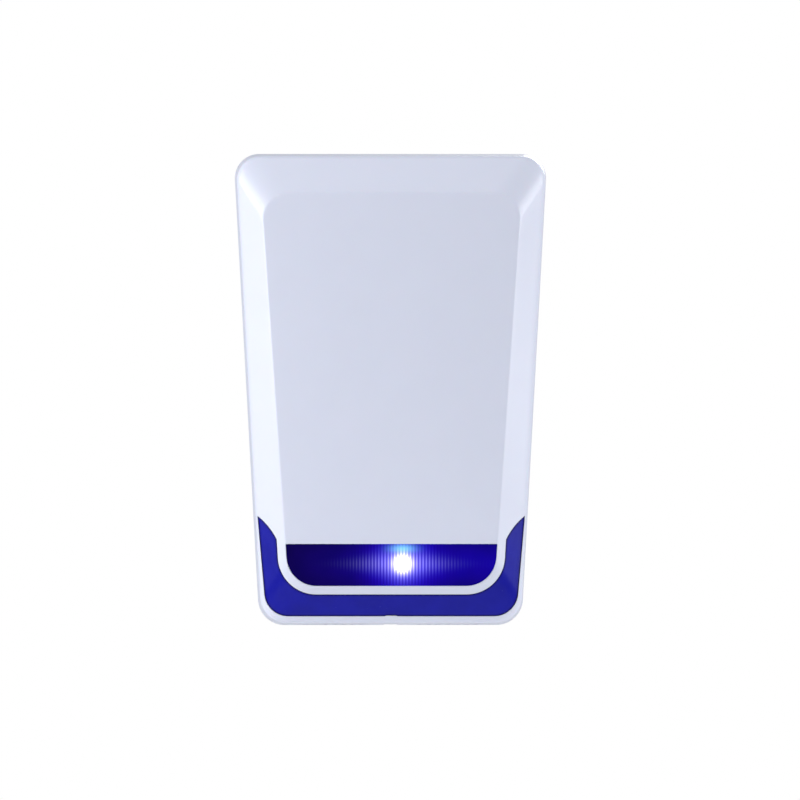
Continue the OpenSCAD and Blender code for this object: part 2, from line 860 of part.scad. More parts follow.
module tray_seal() {
    color("dimgray")
        difference() {
            outline_ring(reveal + 0.4, reveal + tray_wall - 0.4, seam_y + fit, tray_front_y);
            block([-body_width_top, -body_depth, hinge_z - barrel_radius - trough_wall - 2],
                [body_width_top, over, top_z + over]);
        }
}

module cable_grommet() {
    color("black")
        difference() {
            union() {
                rod_y(grommet_groove_radius, -tray_floor - merge, -fit, cable_at);
                rod_y(grommet_groove_radius + 2.5, -tray_floor - 1.8, -tray_floor, cable_at);
            }
            rod_y(cable_bore_radius, -tray_floor - 2 * over, over, cable_at);
        }
}

// --- Siren horn -----------------------------------------------------------------------------------

horn_throat_radius = 8;
horn_wall = 2;
horn_flare_steps = 7;
horn_cap_radius = 26;

// The horn's inner radius at a share of its length
function flare(t) = horn_throat_radius * pow((horn_radius - horn_wall) / horn_throat_radius, t);

module siren_horn() {
    inner = [for (i = [0 : horn_flare_steps])
        let (t = i / horn_flare_steps)
        [flare(t), t * horn_length]];
    rim = [[horn_radius, horn_length], [horn_radius, horn_length - horn_lug_thickness]];
    outer = [for (i = [horn_flare_steps - 1 : -1 : 1])
        let (t = i / horn_flare_steps)
        [flare(t) + horn_wall, t * horn_length - horn_wall / 2]];
    back = [[horn_cap_radius, horn_wall], [horn_cap_radius, 0]];
    color("ivory") {
        turned_y(concat(inner, rim, outer, back), horn_rear_y, horn_at);
        // Four lugs in the mouth's plane
        for (at = horn_posts)
            difference() {
                union() {
                    rod_y(horn_post_radius, horn_lug_y - horn_lug_thickness, horn_lug_y, at);
                    translate([horn_at.x, 0, horn_at.y])
                        rotate([0, -atan2(at.y - horn_at.y, at.x - horn_at.x), 0])
                            block([horn_radius - horn_wall / 2, horn_mouth_y, -horn_post_radius],
                                [norm(at - horn_at), horn_lug_y, horn_post_radius]);
                }
                screw_hole(at, horn_lug_y - horn_lug_thickness, horn_lug_y);
            }
    }
}

module horn_plug() {
    start = 0.25;
    color("ivory") {
        turned_y([[0, 0], [3, 1], [9, 12], [10, 15], [9, 17.5], [0, 20]],
            horn_rear_y - horn_length * start, horn_at);
        for (turn = [90, 210, 330])
            translate([horn_at.x, horn_rear_y - horn_length * (start + 0.25), horn_at.y])
                rotate([0, turn, 0])
                    block([2, -3, -0.8], [flare(start + 0.25) - fit, 0, 0.8]);
    }
}

module horn_cap() {
    color("ivory")
        turned_y(
            [[0, 0], [horn_cap_radius, 0], [horn_cap_radius, horn_cap_depth - fit],
                [horn_cap_radius - horn_wall, horn_cap_depth - fit], [horn_cap_radius - horn_wall, horn_wall],
                [0, horn_wall]],
            horn_cap_y, horn_at);
}

module piezo_disc() {
    color("goldenrod") {
        rod_y(horn_cap_radius - 2.2, horn_rear_y + 0.8, horn_rear_y + 1.4, horn_at);
        rod_y(15, horn_rear_y + 1.4 - fit, horn_rear_y + 1.9, horn_at);
    }
}

module horn_screws() {
    color("silver")
        for (at = horn_posts)
            small_screw(at, horn_lug_y - horn_lug_thickness, horn_lug_thickness + 5);
}

louvres = 9;
louvre_pitch = 9;
louvre_height = 3;

module inner_shield() {
    color("lightsteelblue")
        difference() {
            union() {
                difference() {
                    block([-shield_half, shield_front_y, shield_low_z],
                        [shield_half, -tray_floor - fit, shield_high_z]);
                    block([-shield_half + shield_sheet, shield_front_y + shield_sheet, shield_low_z - over],
                        [shield_half - shield_sheet, over, shield_high_z - shield_sheet]);
                }
                for (at = shield_posts)
                    block([at.x - shield_tab_reach / 2 - 0.5, shield_tab_y - shield_sheet, at.y - 5.5],
                        [at.x + shield_tab_reach / 2 + 0.5, shield_tab_y, at.y + 5.5]);
            }
            for (at = shield_posts)
                screw_hole(at, shield_tab_y - shield_sheet, shield_tab_y);
            for (i = [0 : louvres - 1])
                mirrored_x()
                    block([4, shield_front_y - over, horn_at.y + (i - (louvres - 1) / 2) * louvre_pitch],
                        [46, shield_front_y + 2 * shield_sheet,
                            horn_at.y + (i - (louvres - 1) / 2) * louvre_pitch + louvre_height]);
        }
}

module shield_screws() {
    color("silver")
        for (at = shield_posts)
            small_screw(at, shield_tab_y - shield_sheet, shield_sheet + 3);
}

// --- Circuit board --------------------------------------------------------------------------------

module circuit_board() {
    color("darkgreen")
        difference() {
            chip_box(board_at, [board_width, board_height], board_thickness, board_rear_y);
            for (at = board_posts)
                screw_hole(at, board_front_y, board_rear_y);
        }
}

module board_screws() {
    color("silver")
        for (at = board_posts)
            small_screw(at, board_front_y, board_thickness + 4);
}

terminal_ways = 8;
terminal_pitch = 5.08;
terminal_at = [-29.5, 16];
terminal_size = [terminal_ways * terminal_pitch, 9];
terminal_rise = 11;
terminal_screw_radius = 1.7;
function terminal_way(i) = terminal_at + [(i - (terminal_ways - 1) / 2) * terminal_pitch, 1.6];

module terminal_block() {
    color("green")
        difference() {
            chip_box(terminal_at, terminal_size, terminal_rise, board_front_y);
            for (i = [0 : terminal_ways - 1]) {
                rod_y(terminal_screw_radius + fit, board_front_y - terminal_rise - over,
                    board_front_y - terminal_rise + 4, terminal_way(i));
                // Wire entry from below
                rod_z(1.5, terminal_at.y - terminal_size.y, terminal_at.y,
                    terminal_way(i).x, board_front_y - 4);
            }
        }
}

module terminal_screws() {
    color("silver")
        for (i = [0 : terminal_ways - 1])
            difference() {
                rod_y(terminal_screw_radius, board_front_y - terminal_rise + 0.8,
                    board_front_y - terminal_rise + 4, terminal_way(i));
                chip_box(terminal_way(i), [2.6, 0.5], 1, board_front_y - terminal_rise + 1.4);
            }
}

capacitor_places = [[10, 15, 4, 12], [20, 15, 5, 14], [32, 15, 5, 14]];
module capacitors() {
    color("midnightblue")
        for (c = capacitor_places)
            rod_y(c[2], board_front_y - c[3], board_front_y, [c[0], c[1]]);
}

module drive_coil() {
    color("sienna") {
        rod_y(7, board_front_y - 1.5, board_front_y, [20, -1]);
        rod_y(5.5, board_front_y - 8, board_front_y - 1.5 + fit, [20, -1]);
        rod_y(7, board_front_y - 9.5, board_front_y - 8 + fit, [20, -1]);
    }
}

module chips() {
    color("black") {
        chip_box([-12, -1], [10, 10], 1.4, board_front_y);
        chip_box([-32, -1], [5, 6.2], 1.5, board_front_y);
        chip_box([0, 1], [5, 4], 1.5, board_front_y);
    }
}

transistor_places = [[36, -3], [43, -3]];
module power_transistors() {
    color("dimgray")
        for (at = transistor_places) {
            chip_box(at, [4.5, 10], 9, board_front_y - 3);
            chip_box(at + [1.6, 0], [1.3, 10], 14, board_front_y - 3);
            for (pin = [-2.54, 0, 2.54])
                chip_box(at + [0, pin], [0.6, 0.9], 3 + fit, board_front_y);
        }
}

module status_lamp() {
    color("red") {
        rod_y(1.5, board_front_y - 3.5, board_front_y, [-22, -15]);
        translate([-22, board_front_y - 3.5, -15])
            sphere(r = 1.5);
    }
}

// Sockets for the wires: battery, siren, strobe, cover tamper and wall tamper
socket_rise = 8;
socket_size = [8, 5.6];
battery_socket_at = [28, -16];
siren_socket_at = [54, 3];
strobe_socket_at = [-54, -3];
cover_tamper_socket_at = [44, -16];
wall_tamper_socket_at = [-42, -15];
strobe_tail_at = [-40, lamp_z + 6];
module wire_sockets() {
    color("white") {
        chip_box(battery_socket_at, [12, 6.4], socket_rise, board_front_y);
        for (at = [siren_socket_at, strobe_socket_at, cover_tamper_socket_at, wall_tamper_socket_at])
            chip_box(at, socket_size, socket_rise, board_front_y);
    }
}

dip_at = [-1, 15];
dip_pitch = 2.54;
dip_rise = 3.6;
dip_travel = 1.5;
dip_slider = [1.1, 1.3];
dip_slot = [dip_slider.x + 0.3, dip_slider.y + dip_travel + 0.4];
function dip_way(i) = [dip_at.x + (i - 2.5) * dip_pitch, dip_at.y];

module dip_switch() {
    color("crimson")
        difference() {
            chip_box(dip_at, [4 * dip_pitch + 0.8, 6.4], dip_rise, board_front_y);
            for (i = [1 : 4])
                chip_box(dip_way(i), dip_slot, 1.6 + over, board_front_y - dip_rise + 1.6);
        }
}

module dip_slider(i) {
    color("white")
        chip_box(dip_way(i) - [0, dip_travel / 2], dip_slider, 2.4, board_front_y - dip_rise + 1.4);
}
module dip_slider_1() {
    dip_slider(1);
}
module dip_slider_2() {
    dip_slider(2);
}
module dip_slider_3() {
    dip_slider(3);
}
module dip_slider_4() {
    dip_slider(4);
}

// --- Battery --------------------------------------------------------------------------------------

battery_terminal_x = battery_width / 2 - 10;
battery_terminal_y = battery_rear_y - 16;
terminal_tab = [6.4, 0.8, 6];

module battery_case() {
    lid = 6;
    color("dimgray") {
        block([-battery_width / 2, battery_front_y, battery_bottom_z],
            [battery_width / 2, battery_rear_y, battery_top_z - lid]);
        block([-battery_width / 2 + 0.4, battery_front_y + 0.4, battery_top_z - lid - merge],
            [battery_width / 2 - 0.4, battery_rear_y - 0.4, battery_top_z]);
    }
}

module battery_terminals() {
    color("goldenrod")
        for (side = [-1, 1])
            translate([side * battery_terminal_x, battery_terminal_y, battery_top_z]) {
                block([-terminal_tab.x / 2, -terminal_tab.y / 2, 0],
                    [terminal_tab.x / 2, terminal_tab.y / 2, terminal_tab.z]);
                // Base of the tab
                block([-4, -3, 0], [4, 3, 1]);
            }
}

module battery_strap() {
    low = strap_z - strap_height / 2;
    high = strap_z + strap_height / 2;
    outer = strap_half + strap_sheet;
    front = battery_front_y - 0.3 - strap_sheet;
    color("silver")
        difference() {
            union() {
                block([-outer, front, low], [outer, front + strap_sheet, high]);
                for (side = [-1, 1]) {
                    block([side > 0 ? strap_half : -outer, front, low],
                        [side > 0 ? outer : -strap_half, strap_foot_y, high]);
                    block([side > 0 ? strap_half : -outer - strap_foot, strap_foot_y - strap_sheet, low],
                        [side > 0 ? outer + strap_foot : -strap_half, strap_foot_y, high]);
                }
            }
            for (at = strap_posts)
                screw_hole(at, strap_foot_y - strap_sheet, strap_foot_y);
        }
}

module strap_screws() {
    color("silver")
        for (at = strap_posts)
            small_screw(at, strap_foot_y - strap_sheet, strap_sheet + 4);
}

// --- Strobe ---------------------------------------------------------------------------------------

lamp_base = 7;
lamp_radius = 2.5;
reflector_wall = 1;
reflector_half_height = 10;
reflector_rear_y = strobe_front_y - 2.4;
reflector_front_y = panel_inner_y + 3;
function lamp_x(i) = (i - (lamp_count - 1) / 2) * lamp_pitch;

module strobe_board() {
    color("white")
        difference() {
            union() {
                chip_box([0, lamp_z], 2 * [strobe_half, strobe_half_height], board_thickness, strobe_rear_y);
                // Socket for the strobe's wires, on the back
                chip_box(strobe_tail_at, socket_size, 5, strobe_rear_y + 5 - merge);
            }
            for (at = strobe_posts)
                screw_hole(at, strobe_front_y, strobe_rear_y);
        }
}

module strobe_lamps() {
    color("deepskyblue")
        for (i = [0 : lamp_count - 1]) {
            chip_box([lamp_x(i), lamp_z], [lamp_base, lamp_base], 1.6, strobe_front_y);
            rod_y(lamp_radius, strobe_front_y - 3.2, strobe_front_y - 1.6 + fit, [lamp_x(i), lamp_z]);
            translate([lamp_x(i), strobe_front_y - 3.2, lamp_z])
                sphere(r = lamp_radius);
        }
}

module strobe_screws() {
    color("silver")
        for (at = strobe_posts)
            small_screw(at, strobe_front_y, board_thickness + 4);
}

// A shallow bright tray round the lamps
module strobe_reflector() {
    half = strobe_half;
    color("gainsboro")
        difference() {
            chip_box([0, lamp_z], [2 * half, 2 * reflector_half_height], reflector_rear_y - reflector_front_y,
                reflector_rear_y);
            chip_box([0, lamp_z],
                [2 * half - 2 * reflector_wall, 2 * reflector_half_height - 2 * reflector_wall],
                2 * (reflector_rear_y - reflector_front_y), reflector_rear_y - reflector_wall);
            for (i = [0 : lamp_count - 1])
                rod_y(lamp_radius + 0.5, strobe_front_y - 20, strobe_front_y, [lamp_x(i), lamp_z]);
        }
}

// --- Tamper switches ------------------------------------------------------------------------------

plunger_radius = 1.8;
plunger_head_radius = 3;
plunger_head = 1.5;
tamper_bore = 3.2;
tamper_spring_wire = 0.3;
tamper_bore_depth = 8;
wall_plunger_radius = 2.5;
wall_switch_rise = 14;

module cover_tamper_switch() {
    color("black")
        difference() {
            chip_box(tamper_at, [tamper_body, tamper_body], tamper_body, tamper_rear_y);
            rod_y(tamper_bore, tamper_body_y - over, tamper_body_y + tamper_bore_depth, tamper_at);
        }
}

module cover_tamper_plunger() {
    color("crimson") {
        rod_y(plunger_head_radius, tamper_tip_y, tamper_tip_y + plunger_head, tamper_at);
        rod_y(plunger_radius, tamper_tip_y + plunger_head - merge,
            tamper_body_y + tamper_bore_depth - 0.5, tamper_at);
    }
}

module cover_tamper_spring() {
    color("silver")
        coil(plunger_radius + 0.9, tamper_spring_wire, 6, tamper_tip_y + plunger_head + fit,
            tamper_body_y + tamper_bore_depth - 1, tamper_at);
}

module wall_tamper_switch() {
    color("black")
        difference() {
            chip_box(wall_tamper_at, [14, 14], wall_switch_rise - fit, -tray_floor - fit);
            rod_y(wall_plunger_radius + 0.8, -tray_floor - wall_switch_rise + 2, over, wall_tamper_at);
        }
}

module wall_tamper_plunger() {
    color("crimson") {
        rod_y(wall_plunger_radius, -tray_floor - 3.5, -fit, wall_tamper_at);
        rod_y(1.5, -tray_floor - 7, -tray_floor - 3.5 + merge, wall_tamper_at);
    }
}

module wall_tamper_spring() {
    color("silver")
        coil(2.2, tamper_spring_wire, 5, -tray_floor - wall_switch_rise + 2.2, -tray_floor - 3.5 - fit,
            wall_tamper_at);
}

// --- Spirit level ---------------------------------------------------------------------------------

vial_radius = 4;
vial_half = 14;
vial_y = -tray_floor - 6;

module level_holder() {
    color("whitesmoke")
        difference() {
            chip_box(level_at, [2 * vial_half + 6, 2 * vial_radius + 3], 8, -tray_floor);
            rod_x(vial_radius + fit, -vial_half - fit, vial_half + fit, vial_y, level_at.y);
            block([-vial_half - fit, vial_y - 4, level_at.y - vial_radius - fit],
                [vial_half + fit, vial_y, level_at.y + vial_radius + fit]);
        }
}

module level_vial() {
    color("yellowgreen")
        rod_x(vial_radius, -vial_half, vial_half, vial_y, level_at.y);
}

// --- Wires ----------------------------------------------------------------------------------------

lead_start_z = battery_top_z + 10;
// The wires are gripped in their sockets, just behind the sockets' faces
socket_y = board_front_y - socket_rise + 0.8;
red_route = [[battery_terminal_x, battery_terminal_y, lead_start_z], [39, -22, -20], [37, -29, -14],
    [32, -30, -14], [31, -26, -16], [31, socket_y, -16]];
black_route = [[-battery_terminal_x, battery_terminal_y, lead_start_z], [-38, -24, -21], [-30, -30, -20],
    [-6, -30, -22], [18, -31, -20], [25, -28, -16], [25, socket_y, -16]];
siren_route = [[20, -8, 64.5], [25, -8, 48], [34, -14, 34], [46, -26, 22], [54, -30, 10], [54, -26, 3],
    [54, socket_y, 3]];
strobe_route = [[-54, socket_y, -3], [-56, -26, -5], [-64, -26, -14], [-71, -18, -30], [-73, -13, -56],
    [-74, -22, -80], [-68, -44, -94], [-56, -53, -103], [-43, -53.4, -106]];
cover_tamper_route = [[62, -50, -83], [63, -48, -74], [68, -32, -64], [69, -18, -50], [66, -16, -36],
    [58, -24, -24], [47, -29, -18], [44, -26, -16], [44, socket_y, -16]];
wall_tamper_route = [[-62, -13, -82], [-63, -14, -75], [-67, -15, -64], [-66, -14, -44], [-58, -18, -30],
    [-46, -28, -20], [-42, -26, -15], [-42, socket_y, -15]];

// A lead with the push-on connector that grips a battery terminal
module battery_lead(route, side) {
    x = side * battery_terminal_x;
    tube(smooth(route, wire_steps), wire_radius);
    difference() {
        block([x - 3.9, battery_terminal_y - 2.4, battery_top_z + 1.2],
            [x + 3.9, battery_terminal_y + 2.4, lead_start_z]);
        block([x - 3.3, battery_terminal_y - 0.5, battery_top_z],
            [x + 3.3, battery_terminal_y + 0.5, battery_top_z + 6.5]);
    }
}

module battery_lead_red() {
    color("red")
        battery_lead(red_route, 1);
}
module battery_lead_black() {
    color("black")
        battery_lead(black_route, -1);
}
module siren_leads() {
    color("white")
        tube(smooth(siren_route, wire_steps), wire_radius);
}
module strobe_leads() {
    color("blue")
        tube(smooth(strobe_route, wire_steps), wire_radius);
}
module cover_tamper_leads() {
    color("gray")
        tube(smooth(cover_tamper_route, wire_steps), wire_radius);
}
module wall_tamper_leads() {
    color("gray")
        tube(smooth(wall_tamper_route, wire_steps), wire_radius);
}

rear_tray();
tray_seal();
front_cover();
strobe_window();
side_lens();
sound_mesh();
hinge_pin_left();
hinge_pin_right();
cover_screw();
screw_washer();
screw_insert();
siren_horn();
horn_plug();
piezo_disc();
horn_cap();
horn_screws();
inner_shield();
shield_screws();
circuit_board();
board_screws();
terminal_block();
terminal_screws();
capacitors();
drive_coil();
chips();
power_transistors();
status_lamp();
wire_sockets();
dip_switch();
dip_slider_1();
dip_slider_2();
dip_slider_3();
dip_slider_4();
battery_case();
battery_terminals();
battery_strap();
strap_screws();
strobe_board();
strobe_lamps();
strobe_reflector();
strobe_screws();
cover_tamper_switch();
cover_tamper_plunger();
cover_tamper_spring();
wall_tamper_switch();
wall_tamper_plunger();
wall_tamper_spring();
level_holder();
level_vial();
cable_grommet();
battery_lead_red();
battery_lead_black();
siren_leads();
strobe_leads();
cover_tamper_leads();
wall_tamper_leads();
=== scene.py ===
"""Looks of the outdoor alarm siren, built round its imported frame.

Sizes are in millimetres, in the frame of the part: X across, Y into the wall and Z up. Shapes are worked
out with numpy in millimetres, and turn into metres as they become meshes.
"""

import logging
import math
from dataclasses import dataclass, field
from enum import Enum
from typing import Protocol, Sequence

import bmesh
import bpy
import numpy as np
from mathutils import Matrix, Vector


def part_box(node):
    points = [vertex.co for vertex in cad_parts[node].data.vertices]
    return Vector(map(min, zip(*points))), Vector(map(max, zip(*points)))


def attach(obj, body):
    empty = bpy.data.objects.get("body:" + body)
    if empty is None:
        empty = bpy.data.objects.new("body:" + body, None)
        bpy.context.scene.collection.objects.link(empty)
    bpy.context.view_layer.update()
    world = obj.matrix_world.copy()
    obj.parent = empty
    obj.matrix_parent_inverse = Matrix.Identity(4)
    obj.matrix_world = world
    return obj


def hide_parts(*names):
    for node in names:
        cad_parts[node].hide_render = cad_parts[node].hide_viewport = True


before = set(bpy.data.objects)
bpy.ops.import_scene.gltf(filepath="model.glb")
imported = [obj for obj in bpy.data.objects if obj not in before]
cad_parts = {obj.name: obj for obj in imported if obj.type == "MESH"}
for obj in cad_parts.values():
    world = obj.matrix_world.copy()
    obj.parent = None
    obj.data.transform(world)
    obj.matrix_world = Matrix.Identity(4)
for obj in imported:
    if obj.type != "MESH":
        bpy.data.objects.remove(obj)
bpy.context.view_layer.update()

LOG = logging.getLogger("siren")
MM = 0.001
ORIGIN = (0.0, 0.0, 0.0)
DOUBLES = 2e-6  # metres between two points that count as one
Colour = tuple[float, float, float]


class Join(Enum):
    """How two closed shapes are put together."""

    UNITE = "UNION"
    CUT = "DIFFERENCE"
    KEEP = "INTERSECT"


class Grain(Enum):
    """The surface of a metal piece."""

    PLAIN = "plain"
    BRUSHED = "brushed"
    SPANGLED = "spangled"


# --- Shapes ---------------------------------------------------------------------------------------


def clean(mesh: bpy.types.Mesh) -> None:
    """Merges a mesh's doubles and points its faces outwards."""
    work = bmesh.new()
    work.from_mesh(mesh)
    bmesh.ops.remove_doubles(work, verts=work.verts, dist=DOUBLES)
    bmesh.ops.recalc_face_normals(work, faces=work.faces)
    work.to_mesh(mesh)
    work.free()


def points_of(mesh: bpy.types.Mesh) -> np.ndarray:
    """A mesh's points in millimetres."""
    points = np.zeros(len(mesh.vertices) * 3)
    mesh.vertices.foreach_get("co", points)
    return points.reshape(-1, 3) / MM


def evaluated(obj: bpy.types.Object) -> bpy.types.Mesh:
    """A new mesh with an object's shape after its modifiers."""
    bpy.context.view_layer.update()
    return bpy.data.meshes.new_from_object(obj.evaluated_get(bpy.context.evaluated_depsgraph_get()))


@dataclass
class Shape:
    """Points in millimetres, and faces as lists of their numbers."""

    points: np.ndarray
    faces: list[list[int]]

    def __add__(self, other: "Shape") -> "Shape":
        """Both shapes side by side, not joined."""
        shift = len(self.points)
        moved = [[i + shift for i in f] for f in other.faces]
        return Shape(np.concatenate([self.points, other.points]), self.faces + moved)

    def at(self, x: float, y: float, z: float) -> "Shape":
        """The shape moved by a distance along each axis."""
        return Shape(self.points + np.array([x, y, z]), self.faces)

    def turned(self, angle: float) -> "Shape":
        """The shape turned about the Y axis, by degrees from X towards Z."""
        c, s = math.cos(math.radians(angle)), math.sin(math.radians(angle))
        matrix = np.array([[c, 0, s], [0, 1, 0], [-s, 0, c]])
        return Shape(self.points @ matrix, self.faces)

    def flipped(self) -> "Shape":
        """The mirror image across x = 0."""
        return Shape(self.points * np.array([-1, 1, 1]), [f[::-1] for f in self.faces])

    def swapped(self, first: int, second: int, third: int) -> "Shape":
        """The shape with its axes in another order, each given by its number."""
        return Shape(self.points[:, [first, second, third]], self.faces)

    def mesh(self, name: str) -> bpy.types.Mesh:
        """A mesh in metres with doubles merged and faces pointing outwards.

        Args:
            name: Name of the mesh.

        Returns:
            The new mesh.
        """
        mesh = bpy.data.meshes.new(name)
        mesh.from_pydata(self.points * MM, [], self.faces)
        clean(mesh)
        return mesh

    def joined(self, tools: Sequence[tuple["Shape", Join]]) -> "Shape":
        """The shape after a series of unions, cuts and intersections with other closed shapes.

        Args:
            tools: The other shapes in order, each with how it is joined.

        Returns:
            The resulting shape.
        """
        scene = bpy.context.scene
        work = [bpy.data.objects.new("work", s.mesh("work")) for s in [self, *[t[0] for t in tools]]]
        for obj in work:
            scene.collection.objects.link(obj)
        for obj, (_, how) in zip(work[1:], tools):
            step = work[0].modifiers.new("join", "BOOLEAN")
            step.operation, step.solver, step.object = how.value, "EXACT", obj
        made = evaluated(work[0])
        result = Shape(points_of(made), [list(p.vertices) for p in made.polygons])
        for mesh in [*(obj.data for obj in work), made]:
            bpy.data.meshes.remove(mesh)
        return result


def total(shapes: Sequence[Shape]) -> Shape:
    """Several shapes side by side in one."""
    counts = np.cumsum([0] + [len(s.points) for s in shapes])
    faces = [[i + int(n) for i in f] for s, n in zip(shapes, counts) for f in s.faces]
    return Shape(np.concatenate([s.points for s in shapes]), faces)


def grid(points: np.ndarray, around: bool = True, capped: bool = True) -> Shape:
    """A skin over rows of points: each cell between two rows and two columns is one face.

    Args:
        points: Array of rows, columns and three coordinates.
        around: Whether the last column joins the first.
        capped: Whether the first and last rows are closed by a flat face.

    Returns:
        The skin.
    """
    rows, columns = points.shape[:2]
    i, j = np.meshgrid(np.arange(rows - 1), np.arange(columns - (not around)), indexing="ij")
    k = (j + 1) % columns
    cells = np.stack([i * columns + j, i * columns + k, (i + 1) * columns + k, (i + 1) * columns + j], -1)
    faces = cells.reshape(-1, 4).tolist()
    if capped:
        faces += [list(range(columns - 1, -1, -1)), list(range((rows - 1) * columns, rows * columns))]
    return Shape(points.reshape(-1, 3), faces)


def ring_at(outline: np.ndarray, y: float) -> np.ndarray:
    """The points of an outline in x and z, at one y."""
    return np.stack([outline[:, 0], np.full(len(outline), y), outline[:, 1]], -1)


def plate(outline: np.ndarray, front: float, rear: float) -> Shape:
    """An outline in x and z, carried straight along y from front to rear."""
    return grid(np.array([ring_at(outline, y) for y in (front, rear)]))


def box(low: Sequence[float], high: Sequence[float]) -> Shape:
    """A box between its lowest and its highest corner."""
    (x0, y0, z0), (x1, y1, z1) = low, high
    return plate(np.array([[x0, z0], [x1, z0], [x1, z1], [x0, z1]], float), y0, y1)


def lathe(profile: Sequence[Sequence[float]], place: Sequence[float], facets: int = 48) -> Shape:
    """A profile turned about an axis along Y: the point at angle a is radius times cos a and sin a.

    Args:
        profile: Radius and distance forward of the place, from end to end.
        place: The axis's x, the profile's y and the axis's z.
        facets: Number of faces round the axis.

    Returns:
        The closed shape. A profile that ends where it began, such as a ring's, has no caps.
    """
    p = np.array(profile, float)
    ring = bool(np.allclose(p[0], p[-1]))
    a = np.arange(facets) * 2 * np.pi / facets
    points = np.stack(
        [
            place[0] + p[:, 0, None] * np.cos(a),
            place[1] - np.repeat(p[:, 1, None], facets, 1),
            place[2] + p[:, 0, None] * np.sin(a),
        ],
        -1,
    )
    return grid(points, capped=not ring)


def peg(radius: float, rear: float, front: float, place: Sequence[float], facets: int) -> Shape:
    """A round peg along Y, between two distances forward of its place."""
    return lathe([[0, rear], [radius, rear], [radius, front], [0, front]], place, facets)


def arc(
    centre: Sequence[float], radius: float, first: float, last: float, steps: int
) -> list[list[float]]:
    """Points of a circle's arc, by its angles in degrees."""
    a = np.radians(np.linspace(first, last, steps + 1))
    return np.stack([centre[0] + radius * np.cos(a), centre[1] + radius * np.sin(a)], -1).tolist()


def lengths(path: np.ndarray) -> np.ndarray:
    """How far along a path each of its points is."""
    return np.concatenate([[0], np.cumsum(np.linalg.norm(np.diff(path, axis=0), axis=1))])


def unit(v: np.ndarray) -> np.ndarray:
    """Vectors along the last axis, each divided by its length."""
    return v / np.linalg.norm(v, axis=-1, keepdims=True)


def tube(path: np.ndarray, radius: float | np.ndarray, facets: int = 10) -> Shape:
    """A round tube along a path. Its side vectors are the tangents crossed with one fixed direction, the one
    that stays furthest from every tangent, so no two rings are twisted against each other.

    Args:
        path: Points of the path.
        radius: One radius, or one for each point.
        facets: Number of faces round the tube.

    Returns:
        The closed tube.
    """
    tangent = unit(np.gradient(path, axis=0))
    tries = unit(np.array([[x, y, z] for x in (-1, 0, 1) for y in (-1, 0, 1) for z in (0.2, 1.0)]))
    spread = np.linalg.norm(np.cross(tangent[:, None], tries[None]), axis=-1).min(0)
    side = unit(np.cross(tangent, tries[int(spread.argmax())]))
    up = np.cross(tangent, side)
    a = np.arange(facets) * 2 * np.pi / facets
    r = np.broadcast_to(radius, len(path))[:, None, None]
    return grid(path[:, None] + r * (np.cos(a)[:, None] * side[:, None] + np.sin(a)[:, None] * up[:, None]))


def smooth_path(points: Sequence[Sequence[float]], steps: int = 10) -> np.ndarray:
    """A Catmull-Rom curve through points.

    Args:
        points: The points that it passes.
        steps: Steps between two points.

    Returns:
        The curve's points.
    """
    p = np.array(points, float)
    p = np.concatenate([p[:1], p, p[-1:]])
    t = np.linspace(0, 1, steps, endpoint=False)[None, :, None]
    a, b, c, d = p[:-3, None], p[1:-2, None], p[2:-1, None], p[3:, None]
    curve = 0.5 * (
        2 * b + (c - a) * t + (2 * a - 5 * b + 4 * c - d) * t**2 + (3 * b - a - 3 * c + d) * t**3
    )
    return np.concatenate([curve.reshape(-1, 3), p[-1:]])


def soft_box(low: Sequence[float], high: Sequence[float], radius: float, steps: int = 4) -> Shape:
    """A box whose outline in x and z has round corners and whose front edge is rounded by the same radius.

    Args:
        low: Lowest corner.
        high: Highest corner.
        radius: Radius of the corners and of the front edge.
        steps: Steps in each rounding.

    Returns:
        The closed shape.
    """
    a = np.linspace(0, np.pi / 2, steps + 1)
    insets = np.concatenate([[0], radius * (1 - np.cos(a))])
    ys = np.concatenate([[high[1]], low[1] + radius * (1 - np.sin(a))])
    rows = []
    for inset, y in zip(insets, ys):
        x0, x1, z0, z1 = low[0] + inset, high[0] - inset, low[2] + inset, high[2] - inset
        corners = np.array([[x1, z0], [x1, z1], [x0, z1], [x0, z0]])
        outline = rounded(corners, np.full(4, max(radius * 1.2 - inset, 0.05)), steps, 1)
        rows.append(ring_at(outline, y))
    return grid(np.array(rows))


def rounded(corners: np.ndarray, radii: np.ndarray, steps: int, straight: int) -> np.ndarray:
    """A closed polygon with round corners. Each arc's centre lies on its corner's bisector, at the radius
    over the sine of half the corner's angle.

    Args:
        corners: The polygon's sharp corners.
        radii: Radius of each corner.
        steps: Steps in each arc.
        straight: Steps along each straight side.

    Returns:
        The outline's points, the same number whatever the sizes.
    """
    u, v = unit(np.roll(corners, 1, 0) - corners), unit(np.roll(corners, -1, 0) - corners)
    half = np.arccos((u * v).sum(-1)) / 2
    r = radii[:, None]
    centre = corners + unit(u + v) * r / np.sin(half)[:, None]
    start, end = (corners + w * r / np.tan(half)[:, None] - centre for w in (u, v))
    first = np.arctan2(start[:, 1], start[:, 0])
    sweep = (np.arctan2(end[:, 1], end[:, 0]) - first + np.pi) % (2 * np.pi) - np.pi
    a = first[:, None] + sweep[:, None] * np.linspace(0, 1, steps + 1)
    arcs = centre[:, None] + r[:, None] * np.stack([np.cos(a), np.sin(a)], -1)
    t = np.linspace(0, 1, straight + 1)[1:-1, None]
    lines = arcs[:, -1:] * (1 - t) + np.roll(arcs, -1, 0)[:, :1] * t
    return np.concatenate([arcs, lines], 1).reshape(-1, 2)


# --- Node trees -----------------------------------------------------------------------------------


